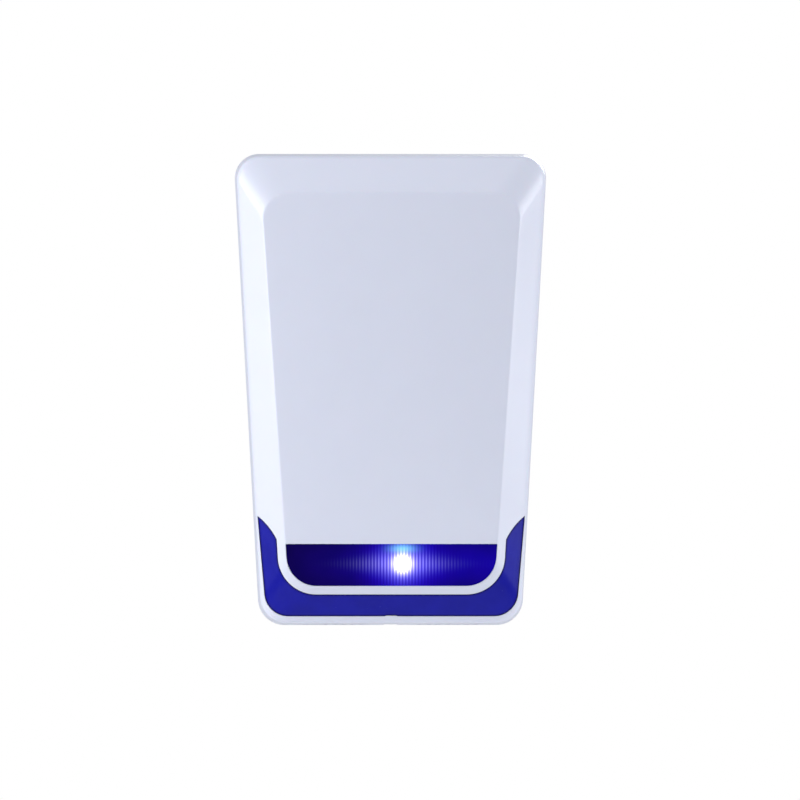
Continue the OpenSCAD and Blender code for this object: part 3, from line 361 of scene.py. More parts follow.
@dataclass
class Signal:
    """A value in a material's node tree. Arithmetic on it adds Math nodes."""

    tree: bpy.types.NodeTree
    socket: bpy.types.NodeSocket

    def math(self, operation: str, *others: "Signal | float", clamp: bool = False) -> "Signal":
        """One Math node on this value and others.

        Args:
            operation: The node's operation.
            others: Further inputs, values or numbers.
            clamp: Whether the result is held between 0 and 1.

        Returns:
            The node's result.
        """
        node = self.tree.nodes.new("ShaderNodeMath")
        node.operation, node.use_clamp = operation, clamp
        self.tree.links.new(self.socket, node.inputs[0])
        for slot, other in zip(node.inputs[1:], others):
            if isinstance(other, Signal):
                self.tree.links.new(other.socket, slot)
            else:
                slot.default_value = other
        return Signal(self.tree, node.outputs[0])

    def __add__(self, other: "Signal | float") -> "Signal":
        """Sum."""
        return self.math("ADD", other)

    def __sub__(self, other: "Signal | float") -> "Signal":
        """Difference."""
        return self.math("SUBTRACT", other)

    def __mul__(self, other: "Signal | float") -> "Signal":
        """Product."""
        return self.math("MULTIPLY", other)

    def bell(self, width: float) -> "Signal":
        """e to the power of minus the square of this value over a width."""
        squared = (self * (1 / width)).math("POWER", 2.0)
        return (squared * -1.0).math("EXPONENT")

    def wave(self, period: float) -> "Signal":
        """A cosine from 0 to 1 with a period."""
        return (self * (2 * math.pi / period)).math("COSINE") * 0.5 + 0.5


class Sheet:
    """A material's node tree with short calls to fill it in. Patterns read Object coordinates."""

    def __init__(self, name: str) -> None:
        """Starts a material with one Principled shader."""
        self.material = bpy.data.materials.new(name)
        self.material.use_nodes = True
        self.tree = self.material.node_tree
        self.shader = self.tree.nodes["Principled BSDF"]
        self.place = self.node("ShaderNodeTexCoord").outputs["Object"]

    def feed(self, node: bpy.types.Node, values: dict[str, object]) -> None:
        """Gives a node its inputs.

        Args:
            node: The node.
            values: Numbers to set, or signals and sockets to link, by input name with _ for a space.
        """
        for key, value in values.items():
            slot = node.inputs[key.replace("_", " ")]
            if isinstance(value, Signal):
                value = value.socket
            if isinstance(value, bpy.types.NodeSocket):
                self.tree.links.new(value, slot)
            else:
                slot.default_value = value

    def node(self, kind: str, **values: object) -> bpy.types.Node:
        """Adds a node of a kind, with its inputs given as feed takes them."""
        node = self.tree.nodes.new(kind)
        self.feed(node, values)
        return node

    def set(self, **values: object) -> None:
        """Gives the Principled shader its inputs, as feed takes them."""
        self.feed(self.shader, values)

    def stretched(self, stretch: Sequence[float]) -> bpy.types.NodeSocket:
        """Object coordinates in millimetres, multiplied along each axis."""
        node = self.node("ShaderNodeMapping", Vector=self.place)
        node.inputs["Scale"].default_value = [v / MM for v in stretch]
        return node.outputs[0]

    def axes(self) -> list[Signal]:
        """The three Object coordinates in millimetres."""
        node = self.node("ShaderNodeSeparateXYZ", Vector=self.stretched((1, 1, 1)))
        return [Signal(self.tree, s) for s in node.outputs]

    def noise(self, size: float, detail: float = 2.0, stretch: Sequence[float] = (1, 1, 1)) -> Signal:
        """Soft noise from 0 to 1 with grains of a size in millimetres."""
        node = self.node("ShaderNodeTexNoise", Vector=self.stretched(stretch), Scale=1 / size, Detail=detail)
        return Signal(self.tree, node.outputs[0])

    def cells(self, size: float, edges: bool = False) -> Signal:
        """Voronoi cells.

        Args:
            size: Size of the cells in millimetres.
            edges: Whether to give the distance to an edge, not a random value for each cell.

        Returns:
            The value or the distance.
        """
        node = self.node("ShaderNodeTexVoronoi", Vector=self.stretched((1, 1, 1)), Scale=1 / size)
        if edges:
            node.feature = "DISTANCE_TO_EDGE"
            return Signal(self.tree, node.outputs["Distance"])
        split = self.node("ShaderNodeSeparateColor", Color=node.outputs["Color"])
        return Signal(self.tree, split.outputs[0])

    def ramp(
        self, value: Signal, low: float, high: float, first: Colour, last: Colour
    ) -> bpy.types.NodeSocket:
        """A colour that goes from one to another as a value rises.

        Args:
            value: The value.
            low: The value up to which the first colour holds.
            high: The value from which the last colour holds.
            first: The first colour.
            last: The last colour.

        Returns:
            The colour's socket.
        """
        node = self.node("ShaderNodeValToRGB", Fac=value)
        start, end = node.color_ramp.elements
        start.position, end.position = low, high
        start.color, end.color = (*first, 1), (*last, 1)
        return node.outputs[0]

    def blend(
        self, share: Signal, first: "Colour | bpy.types.NodeSocket", last: "Colour | bpy.types.NodeSocket"
    ) -> bpy.types.NodeSocket:
        """A colour between two.

        Args:
            share: 0 for the first and 1 for the last.
            first: The first colour, or its socket.
            last: The last colour, or its socket.

        Returns:
            The colour's socket.
        """
        node = self.tree.nodes.new("ShaderNodeMix")
        node.data_type = "RGBA"
        self.tree.links.new(share.socket, node.inputs["Factor"])
        for slot, value in ((node.inputs[6], first), (node.inputs[7], last)):
            if isinstance(value, bpy.types.NodeSocket):
                self.tree.links.new(value, slot)
            else:
                slot.default_value = (*value, 1)
        return node.outputs[2]

    def relief(self, height: Signal | None, depth: float, edge: float) -> None:
        """Bump from a height, on edges that are softened by a radius.

        Args:
            height: The height, from 0 to 1, or None for soft edges alone.
            depth: Depth of the relief in millimetres.
            edge: Radius of the softened edges in millimetres, or 0 for none.
        """
        normal = None
        if edge:
            soft = self.node("ShaderNodeBevel", Radius=edge * MM)
            soft.samples = 6
            normal = soft.outputs[0]
        if height is not None:
            bump = self.node("ShaderNodeBump", Height=height, Distance=depth * MM, Strength=1.0)
            if normal is not None:
                self.tree.links.new(normal, bump.inputs["Normal"])
            normal = bump.outputs[0]
        if normal is not None:
            self.set(Normal=normal)


def linear(red: int, green: int, blue: int) -> Colour:
    """A colour given as it looks, from 0 to 255, as linear light: below 0.04 it is divided by 12.92, and
    above that it follows the 2.4 power."""
    c = np.array([red, green, blue]) / 255
    return tuple(np.where(c < 0.04045, c / 12.92, ((c + 0.055) / 1.055) ** 2.4).tolist())


# --- Finishes -------------------------------------------------------------------------------------


class Finish(Protocol):
    """What every finish has."""

    @property
    def name(self) -> str:
        """The name of its material."""

    def build(self) -> bpy.types.Material:
        """Builds its material."""


@dataclass(frozen=True)
class Plastic:
    """Moulded plastic, rubber or insulation with a fine grain and slightly uneven gloss."""

    name: str
    colour: Colour
    roughness: float = 0.4
    grain: float = 0.5
    depth: float = 0.01
    mottle: float = 0.04
    edge: float = 0.3
    clear: float = 0.0
    coat: float = 0.0
    milky: float = 0.0

    def build(self) -> bpy.types.Material:
        """Base colour mottled by broad noise, gloss by finer noise, and a grain as bump.

        Returns:
            The material.
        """
        sheet = Sheet(self.name)
        darker = tuple(c * (1 - 2 * self.mottle) for c in self.colour)
        sheet.set(Base_Color=sheet.ramp(sheet.noise(22.0, 4.0), 0.3, 0.7, darker, self.colour))
        sheet.set(Roughness=sheet.noise(3.0) * 0.16 + (self.roughness - 0.08))
        sheet.set(Transmission_Weight=self.clear, Coat_Weight=self.coat, Coat_Roughness=0.12, IOR=1.49)
        if self.milky:
            sheet.set(Subsurface_Weight=self.milky, Subsurface_Scale=0.002)
        sheet.relief(sheet.noise(self.grain, 3.0), self.depth, self.edge)
        return sheet.material


@dataclass(frozen=True)
class Metal:
    """Metal with brush lines, spangle or faint staining."""

    name: str
    colour: Colour
    roughness: float = 0.3
    grain: Grain = Grain.PLAIN
    stretch: tuple[float, float, float] = (0.04, 1.0, 1.0)
    edge: float = 0.2

    def build(self) -> bpy.types.Material:
        """Brush lines are noise drawn out along one axis, spangle is large crystals of different grey and
        gloss with fine frost, and plain metal has faint stains.

        Returns:
            The material.
        """
        sheet = Sheet(self.name)
        duller = tuple(c * 0.72 for c in self.colour)
        if self.grain is Grain.SPANGLED:
            crystals, frost = sheet.cells(7.0), sheet.noise(0.5, 3.0)
            share = crystals * 0.75 + frost * 0.25
            height, depth, gloss = sheet.cells(7.0, True), 0.02, crystals * 0.25 + (self.roughness - 0.1)
        elif self.grain is Grain.BRUSHED:
            share = sheet.noise(0.25, 3.0, self.stretch)
            height, depth, gloss = share, 0.008, share * 0.25 + (self.roughness - 0.12)
        else:
            share = sheet.noise(1.6, 4.0)
            height, depth, gloss = sheet.noise(0.3), 0.005, share * 0.2 + (self.roughness - 0.1)
        sheet.set(Base_Color=sheet.ramp(share, 0.2, 0.8, duller, self.colour), Metallic=1.0, Roughness=gloss)
        sheet.relief(height, depth, self.edge)
        return sheet.material


@dataclass(frozen=True)
class Board:
    """A circuit board: solder mask over copper tracks, with tinned pads."""

    name: str
    mask: Colour
    track: Colour
    pitch: float = 3.1
    lattice: float = 2.54
    pad: Colour = (0.75, 0.73, 0.68)

    def build(self) -> bpy.types.Material:
        """A track is where a wave across X or Z is near its top, in cells of random choice, and a pad is the
        middle of some cells of a square lattice.

        Returns:
            The material.
        """
        sheet = Sheet(self.name)
        x, _, z = sheet.axes()
        choice = sheet.cells(13.0)
        bend = sheet.cells(9.0) * 1.5
        along = (x + bend).wave(self.pitch).math("GREATER_THAN", 0.84)
        across = (z + bend).wave(self.pitch).math("GREATER_THAN", 0.84)
        picked = choice.math("GREATER_THAN", 0.5)
        tracks = along * picked + across * (picked * -1.0 + 1.0)
        lattice = (x.wave(self.lattice) * z.wave(self.lattice)).math("GREATER_THAN", 0.72)
        pads = lattice * sheet.cells(6.0).math("GREATER_THAN", 0.82)
        covered = sheet.blend(tracks * 0.8, self.mask, self.track)
        sheet.set(Base_Color=sheet.blend(pads, covered, self.pad))
        sheet.set(Roughness=sheet.noise(1.2) * 0.12 + 0.24, Coat_Weight=0.3, Metallic=pads * 0.8)
        sheet.relief(tracks + pads, 0.03, 0.1)
        return sheet.material


@dataclass(frozen=True)
class Lamp:
    """Clear resin over a chip that shines with a strength of its own."""

    name: str
    colour: Colour
    glow: Colour
    strength: float = 0.0

    def build(self) -> bpy.types.Material:
        """Tinted resin with fine flow marks, and light from within.

        Returns:
            The material.
        """
        sheet = Sheet(self.name)
        pale = tuple(min(1.0, c * 1.25) for c in self.colour)
        sheet.set(Base_Color=sheet.ramp(sheet.noise(0.8), 0.3, 0.7, self.colour, pale), Roughness=0.12)
        sheet.set(Transmission_Weight=0.35, IOR=1.5, Emission_Strength=self.strength)
        sheet.set(Emission_Color=(*self.glow, 1))
        sheet.relief(sheet.noise(0.4), 0.004, 0)
        return sheet.material


@dataclass(frozen=True)
class Window:
    """Deep blue ribbed plastic with the glow of one lamp behind it painted on as emission."""

    lamp_x: float
    lamp_z: float
    rib_pitch: float = 2.0
    name: str = "window_blue_ribbed"
    darker: Colour = (0.003, 0.0, 0.055)
    paler: Colour = (0.005, 0.0, 0.075)
    # Widths in millimetres of the glow painted on as emission: its core, halo, vivid blue bell and tail, its
    # streaks, and the painted highlight above the core.
    core: float = 4.0
    halo: float = 8.5
    vivid: float = 19.0
    tail: float = 16.0
    streak_length: float = 16.0
    streak_height: float = 6.0
    glint_rise: float = 9.5
    glint_height: float = 2.6
    glint_width: float = 7.0

    def build(self) -> bpy.types.Material:
        """The painted glow, emission that stands in for the lamp's light through the ribs, is a white core, a
        vivid blue bell round it and pale streaks, each streak one rib's image of the lamp. It fades towards
        the ends, more on the left, as the ribs turn it away. A small painted highlight stands above the core.

        Returns:
            The material.
        """
        sheet = Sheet(self.name)
        x, _, z = sheet.axes()
        dx, dz = x - self.lamp_x, z - self.lamp_z
        ribs = x.wave(self.rib_pitch)
        reach = (dx.math("ABSOLUTE") * (1 / self.streak_length)).math("POWER", 1.5)
        flare = (reach * -1.0).math("EXPONENT") * (dz * (reach * 0.35 + 0.8)).bell(self.streak_height)
        streaks = flare * (ribs.math("POWER", 1.6) * 0.85 + 0.15)
        away = (dx.math("POWER", 2.0) + dz.math("POWER", 2.0)).math("SQRT")
        core = (away - ribs * 1.3).bell(self.core) + away.bell(self.halo) * 0.03
        vivid = dx.bell(self.vivid) * (ribs * 0.35 + 0.65) * dz.bell(self.vivid)
        tail = (x * 0.0085 + 0.62).math("ADD", 0.0, clamp=True) * dz.bell(self.tail)
        spread = sheet.noise(9.0, 2.0) * 0.3 + 0.85
        # A painted highlight above the core.
        painted_glint = (dz - self.glint_rise).bell(self.glint_height) * dx.bell(self.glint_width)
        red = streaks * 0.58 + core * 4.0 + vivid * 0.02 + tail * 0.003 + painted_glint * 0.16
        green = streaks * 0.54 + core * 4.0 + painted_glint * 0.62
        blue = (vivid * 0.80 + streaks * 0.9 + tail * 0.27) * spread + core * 4.0 + painted_glint * 0.5
        # The painted glow: emission that stands in for the lamp's light seen through the ribs.
        light = sheet.node("ShaderNodeCombineColor", Red=red, Green=green, Blue=blue).outputs[0]
        sheet.set(Base_Color=sheet.ramp(sheet.noise(14.0), 0.3, 0.7, self.darker, self.paler))
        sheet.set(Roughness=0.13, IOR=1.5, Specular_IOR_Level=0.06)
        sheet.set(Emission_Color=light, Emission_Strength=1.0)
        sheet.relief(None, 0, 0.25)
        return sheet.material


@dataclass(frozen=True)
class SideLensFinish:
    """Translucent blue plastic with painted shade along its edges."""

    name: str = "lens_blue"
    colour: Colour = linear(20, 22, 152)
    # The painted shade along the lens's edges.
    rim: Colour = linear(10, 5, 92)

    def build(self) -> bpy.types.Material:
        """Colour from the painted edge shade's to the body's with the distance from the lens's edge, kept in
        the attribute edge_share, and mottled by broad noise.

        Returns:
            The material.
        """
        sheet = Sheet(self.name)
        share = sheet.node("ShaderNodeAttribute")
        share.attribute_name = "edge_share"
        paler = tuple(min(1.0, c * 1.18) for c in self.colour)
        body = sheet.ramp(sheet.noise(16.0, 3.0), 0.3, 0.7, self.colour, paler)
        # Painted shade near the outline, blending into the body's colour.
        sheet.set(Base_Color=sheet.blend(Signal(sheet.tree, share.outputs["Fac"]), self.rim, body))
        sheet.set(Roughness=sheet.noise(2.0) * 0.1 + 0.2, IOR=1.45, Specular_IOR_Level=0.2)
        sheet.relief(sheet.noise(1.4, 2.0), 0.008, 0.3)
        return sheet.material


# A plastic's numbers are its roughness, the size and depth of its grain, its mottle and its soft edges.
TRAY_PLASTIC = Plastic("tray_plastic", (0.74, 0.75, 0.77), 0.42, 0.6, 0.012, 0.02, 0.35)
COVER_PLASTIC = Plastic(
    "cover_plastic", (0.81, 0.825, 0.945), 0.34, 0.45, 0.006, 0.006, 0.5, coat=0.12, milky=0.05
)
SEAL_RUBBER = Plastic("seal_rubber", (0.05, 0.05, 0.055), 0.75, 0.3, 0.02, 0.1)
HORN_PLASTIC = Plastic("horn_plastic", (0.62, 0.58, 0.47), 0.45, 0.4, 0.012, 0.05)
TERMINAL_GREEN = Plastic("terminal_green", (0.02, 0.22, 0.07), 0.4, 0.3, 0.006, 0.06)
CHIP_BLACK = Plastic("chip_black", (0.018, 0.018, 0.02), 0.55, 0.12, 0.006, 0.1, 0.1)
SLEEVE = Plastic("capacitor_sleeve", (0.02, 0.025, 0.07), 0.3, 0.8, 0.004, 0.1, 0.1)
RED_PLASTIC = Plastic("red_plastic", (0.45, 0.015, 0.012), 0.38, 0.3, 0.006, 0.06, 0.15)
WHITE_PLASTIC = Plastic("white_plastic", (0.78, 0.77, 0.72), 0.4, 0.3, 0.006, 0.03, 0.15)
BATTERY_PLASTIC = Plastic("battery_plastic", (0.035, 0.036, 0.04), 0.5, 0.35, 0.018, 0.08, 0.4)
SWITCH_BLACK = Plastic("switch_black", (0.022, 0.022, 0.024), 0.5, 0.3, 0.01, 0.08)
VIAL_GREEN = Plastic("vial_green", (0.45, 0.75, 0.05), 0.08, 2.0, 0.0, 0.04, 0.1, 0.85)
BUBBLE = Plastic("vial_bubble", (0.92, 0.98, 0.8), 0.05, 2.0, 0.0, 0.01, 0, 0.6)
WIRES = {
    "red": Plastic("wire_red", (0.5, 0.012, 0.01), 0.38, 1.2, 0.01, 0.05, 0),
    "black": Plastic("wire_black", (0.02, 0.02, 0.022), 0.38, 1.2, 0.01, 0.05, 0),
    "white": Plastic("wire_white", (0.78, 0.78, 0.75), 0.38, 1.2, 0.01, 0.03, 0),
    "blue": Plastic("wire_blue", (0.02, 0.09, 0.5), 0.38, 1.2, 0.01, 0.05, 0),
    "grey": Plastic("wire_grey", (0.3, 0.31, 0.32), 0.38, 1.2, 0.01, 0.05, 0),
}
STAINLESS = Metal("stainless_steel", (0.68, 0.68, 0.67), 0.26, Grain.BRUSHED)
BRASS = Metal("brass", (0.75, 0.52, 0.2), 0.28)
ZINC = Metal("zinc_steel", (0.66, 0.68, 0.72), 0.3)
GALVANISED = Metal("galvanised_steel", (0.60, 0.63, 0.66), 0.38, Grain.SPANGLED)
TIN = Metal("tin_plate", (0.72, 0.71, 0.67), 0.3)
SPRING_STEEL = Metal("spring_steel", (0.55, 0.55, 0.56), 0.25, edge=0)
CHROME = Metal("reflector_chrome", (0.86, 0.87, 0.9), 0.12, Grain.BRUSHED, (0.03, 1.0, 1.0))
COPPER = Metal("copper_coil", (0.72, 0.28, 0.12), 0.3, Grain.BRUSHED, (1.0, 0.05, 1.0), 0)
BOARD_GREEN = Board("board_green", (0.006, 0.07, 0.022), (0.02, 0.16, 0.05))
BOARD_WHITE = Board("board_white", (0.72, 0.74, 0.75), (0.58, 0.62, 0.62), 5.0)
LAMP_CLEAR = Lamp("lamp_resin", (0.62, 0.66, 0.55), (0, 0, 0))
LAMP_LIT = Lamp("lamp_resin_lit", (0.6, 0.7, 1.0), (0.25, 0.45, 1.0), 6.0)
STATUS_RED = Lamp("status_resin", (0.5, 0.02, 0.02), (1.0, 0.02, 0.0), 0.3)
FLOOR_PAPER = Plastic("floor_paper", (0.86, 0.87, 0.88), 0.8, 1.5, 0.02, 0.01, 0)

MADE: dict[str, bpy.types.Material] = {}


def material(finish: Finish) -> bpy.types.Material:
    """The material of a finish, built when it is first asked for."""
    if finish.name not in MADE:
        MADE[finish.name] = finish.build()
    return MADE[finish.name]


# --- Pieces ---------------------------------------------------------------------------------------


def piece(
    name: str,
    parts: Sequence[tuple[Shape, Finish]],
    body: str,
    stands_for: Sequence[str],
    sharp: float = 32.0,
) -> bpy.types.Object:
    """One piece of the siren, made of shapes that each have a finish.

    Args:
        name: Name of the piece.
        parts: Each shape with its finish.
        body: The body that it moves with.
        stands_for: The nodes that it replaces.
        sharp: Edges that turn by more degrees than this stay sharp.

    Returns:
        The new object.
    """
    mesh = bpy.data.meshes.new(name)
    whole = total([s for s, _ in parts])
    mesh.from_pydata(whole.points * MM, [], whole.faces)
    finishes = list(dict.fromkeys(f for _, f in parts))
    for finish in finishes:
        mesh.materials.append(material(finish))
    index = np.concatenate([np.full(len(s.faces), finishes.index(f)) for s, f in parts])
    mesh.polygons.foreach_set("material_index", index.astype(np.int32))
    clean(mesh)
    mesh.shade_smooth()
    mesh.set_sharp_from_angle(angle=math.radians(sharp))
    obj = bpy.data.objects.new(name, mesh)
    bpy.context.scene.collection.objects.link(obj)
    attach(obj, body)
    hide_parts(*stands_for)
    LOG.info("%s: %d faces on %s", name, len(mesh.polygons), body)
    return obj


def corners(node: str) -> tuple[np.ndarray, np.ndarray]:
    """Lowest and highest corner of a node, in millimetres."""
    low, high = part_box(node)
    return np.array(low) / MM, np.array(high) / MM


def bend(a: Sequence[float], b: Sequence[float], c: Sequence[float], radius: float, steps: int) -> np.ndarray:
    """The arc that rounds the corner b between a and c."""
    arcs = rounded(np.array([a, b, c], float), np.array([1e-3, radius, 1e-3]), steps, 1)
    return arcs.reshape(3, steps + 1, 2)[1]


@dataclass
class Housing:
    """The tapered housing's outline, its shoulder and the outlines of its two lenses."""

    # The outline, and the margins and corners of the front panel within it.
    width_top: float = 200.0
    width_bottom: float = 167.0
    height: float = 300.0
    depth: float = 74.0
    corner_top: float = 15.5
    corner_bottom: float = 17.0
    margin_top_side: float = 16.4
    margin_bottom_side: float = 20.0
    margin_top: float = 26.2
    margin_bottom: float = 26.0
    panel_corner_top: float = 17.0
    panel_corner_bottom: float = 19.0
    # The shoulder between the wall and the panel, seen in section, and the panel's slight crown.
    shoulder_drop: float = 15.0
    shoulder_round: float = 7.0
    edge_round: float = 2.5
    crown: float = 1.5
    draft: float = 1.6
    seam: float = 16.0
    edge_reach: float = 70.0
    wall: float = 2.5
    # The strobe window, and the bead of cover between it and the side lens.
    window_height: float = 26.5
    bead: float = 5.6
    # The side lens: how far its foot, tip and shoulder stand above the housing's foot, how far its sides
    # stay inside the housing's, its corners, and the thumb notch in the middle of its foot.
    lens_foot: float = 6.8
    lens_tip: float = 69.7
    lens_shoulder: float = 55.0
    inset_tip: float = 3.0
    inset_foot: float = 5.1
    lens_corner: float = 15.0
    tip_radius: float = 42.0
    notch_foot: float = 4.0
    notch_top: float = 3.2
    notch_rise: float = 0.4

    @property
    def bottom(self) -> float:
        """Height of the housing's foot."""
        return -self.height / 2

    @property
    def panel_bottom(self) -> float:
        """Height of the front panel's lower edge."""
        return self.bottom + self.margin_bottom

    @property
    def window_top(self) -> float:
        """Height of the strobe window's upper edge."""
        return self.panel_bottom + self.window_height

    @property
    def slope(self) -> float:
        """How far each side leans out for each millimetre of height."""
        return (self.width_top - self.width_bottom) / 2 / self.height

    def half(self, z: float) -> float:
        """Half the housing's width at a height."""
        return self.width_bottom / 2 + (z - self.bottom) * self.slope

    def panel_half(self, z: float) -> float:
        """Half the front panel's width at a height, on the line between its two corners."""
        top = -self.bottom - self.margin_top
        low = self.half(self.panel_bottom) - self.margin_bottom_side
        high = self.half(top) - self.margin_top_side
        return low + (z - self.panel_bottom) * (high - low) / (top - self.panel_bottom)

    def section(self, share: float, inset: float = 0.0) -> np.ndarray:
        """The outline at a share of the way from the wall's outline to the panel's edge.

        Args:
            share: 0 at the wall and 1 at the panel's edge.
            inset: Distance by which every side moves inwards.

        Returns:
            Points in x and z, always the same number.
        """
        lean = math.hypot(1, self.slope)
        low = self.bottom + share * self.margin_bottom
        high = -self.bottom - share * self.margin_top
        x_low = self.half(low) - share * self.margin_bottom_side - inset * lean
        x_high = self.half(high) - share * self.margin_top_side - inset * lean
        foot = max(self.corner_bottom + share * (self.panel_corner_bottom - self.corner_bottom) - inset, 1)
        head = max(self.corner_top + share * (self.panel_corner_top - self.corner_top) - inset, 1)
        sharp = np.array(
            [[x_low, low + inset], [x_high, high - inset], [-x_high, high - inset], [-x_low, low + inset]]
        )
        return rounded(sharp, np.array([foot, head, head, foot]), 18, 26)

    def rows(self, rear: float, inset: float) -> np.ndarray:
        """Sections of the housing from its rear to the middle of its panel. The shoulder follows a straight
        slope between two bends, and the panel rises by the crown times 1 minus its share to the power 2.7.

        Args:
            rear: The y of the first section.
            inset: Distance by which the surface moves inwards.

        Returns:
            Array of sections, points and three coordinates. The last section is one point.
        """
        margin = (self.margin_top_side + self.margin_bottom_side) / 2
        panel = self.depth - self.crown
        line = np.array(
            [[0, self.seam], [self.draft, panel - self.shoulder_drop], [margin, panel], [2 * margin, panel]]
        )
        first = bend(*line[:3], self.shoulder_round, 10)
        second = bend(*line[1:], self.edge_round, 6)
        slope = first[-1] + (second[0] - first[-1]) * np.linspace(0, 1, 8)[1:-1, None]
        profile = np.concatenate([first, slope, second])
        middle = np.array([0, (self.panel_bottom - self.bottom - self.margin_top) / 2])
        stack = [(self.section(0, inset), rear)]
        for distance, depth in profile:
            outline = self.section(min(distance / margin, 1), inset)
            shrink = 1 - max(distance - margin, 0) / self.edge_reach
            stack.append((middle + (outline - middle) * shrink, inset - depth))
        edge = self.section(1, inset)
        for share in (0.96, 0.9, 0.8, 0.68, 0.55, 0.4, 0.25, 0.12, 0.0):
            rise = self.crown * (1 - share**2.7)
            stack.append((middle + (edge - middle) * share, inset - panel - rise))
        return np.array([ring_at(outline, y) for outline, y in stack])

    def solid(self, rear: float, inset: float) -> Shape:
        """The whole housing as a solid.

        Args:
            rear: The y of its flat back.
            inset: Distance by which its surface moves inwards.

        Returns:
            The closed shape.
        """
        rows = self.rows(rear, inset)
        shape = grid(rows, capped=False)
        shape.faces.append(list(range(rows.shape[1])))
        return shape

    def window(self, grow: float = 0.0) -> np.ndarray:
        """The strobe window's outline."""
        low, high = self.panel_bottom, self.window_top
        x_low, x_high = self.panel_half(low) + grow, self.panel_half(high) + grow
        sharp = [[x_low, low - grow], [x_high, high + grow], [-x_high, high + grow], [-x_low, low - grow]]
        foot = self.panel_corner_bottom + grow
        return rounded(np.array(sharp), np.array([foot, 0.6, 0.6, foot]), 16, 12)

    def lens_sides(self, grow: float = 0.0) -> tuple[np.ndarray, np.ndarray]:
        """The inner and the outer side of the right half of the U-shaped lens, from its tip to the middle.

        Args:
            grow: Distance by which the outline moves outwards.

        Returns:
            Two paths of points in x and z. The outer one lifts by a small thumb notch at the middle.
        """
        low = self.bottom + self.lens_foot - grow
        tip_z, knee_z = self.bottom + self.lens_tip, self.bottom + self.lens_shoulder
        inner_z = self.panel_bottom - self.bead + grow
        knee = np.array([self.panel_half(knee_z) + self.bead - grow, knee_z + grow])
        tip = np.array([self.half(tip_z) - self.inset_tip + grow, tip_z + 2 * grow])
        chord = tip - knee
        rise = math.sqrt(self.tip_radius**2 - (chord @ chord) / 4)
        centre = (tip + knee) / 2 + rise * unit(np.array([chord[1], -chord[0]]))
        first, last = (math.atan2(*(p - centre)[::-1]) for p in (tip, knee))
        a = np.linspace(first, last, 25)
        rim = centre + self.tip_radius * np.stack([np.cos(a), np.sin(a)], -1)
        panel_x = self.panel_half(self.panel_bottom) + self.bead - grow
        inner = bend(knee, (panel_x, inner_z), (0, inner_z), self.panel_corner_bottom + self.bead - grow, 24)
        side = (self.half(tip_z) - self.inset_tip + grow, tip_z)
        foot = (self.half(low) - self.inset_foot + grow, low)
        outer = bend(side, foot, (0, low), self.lens_corner + grow, 24)
        lift = low + self.notch_rise
        notch = [[self.notch_foot, low], [self.notch_top, lift], [0, lift]]
        return np.concatenate([rim, inner, [[0, inner_z]]]), np.concatenate([[tip], outer, notch])

    def lens(self, grow: float = 0.0) -> np.ndarray:
        """The closed outline of the U-shaped lens."""
        inner, outer = self.lens_sides(grow)
        right = np.concatenate([inner[::-1], outer[1:]])
        return np.concatenate([right[1:-1], right[:0:-1] * [-1, 1], right[:1] * [-1, 1]])


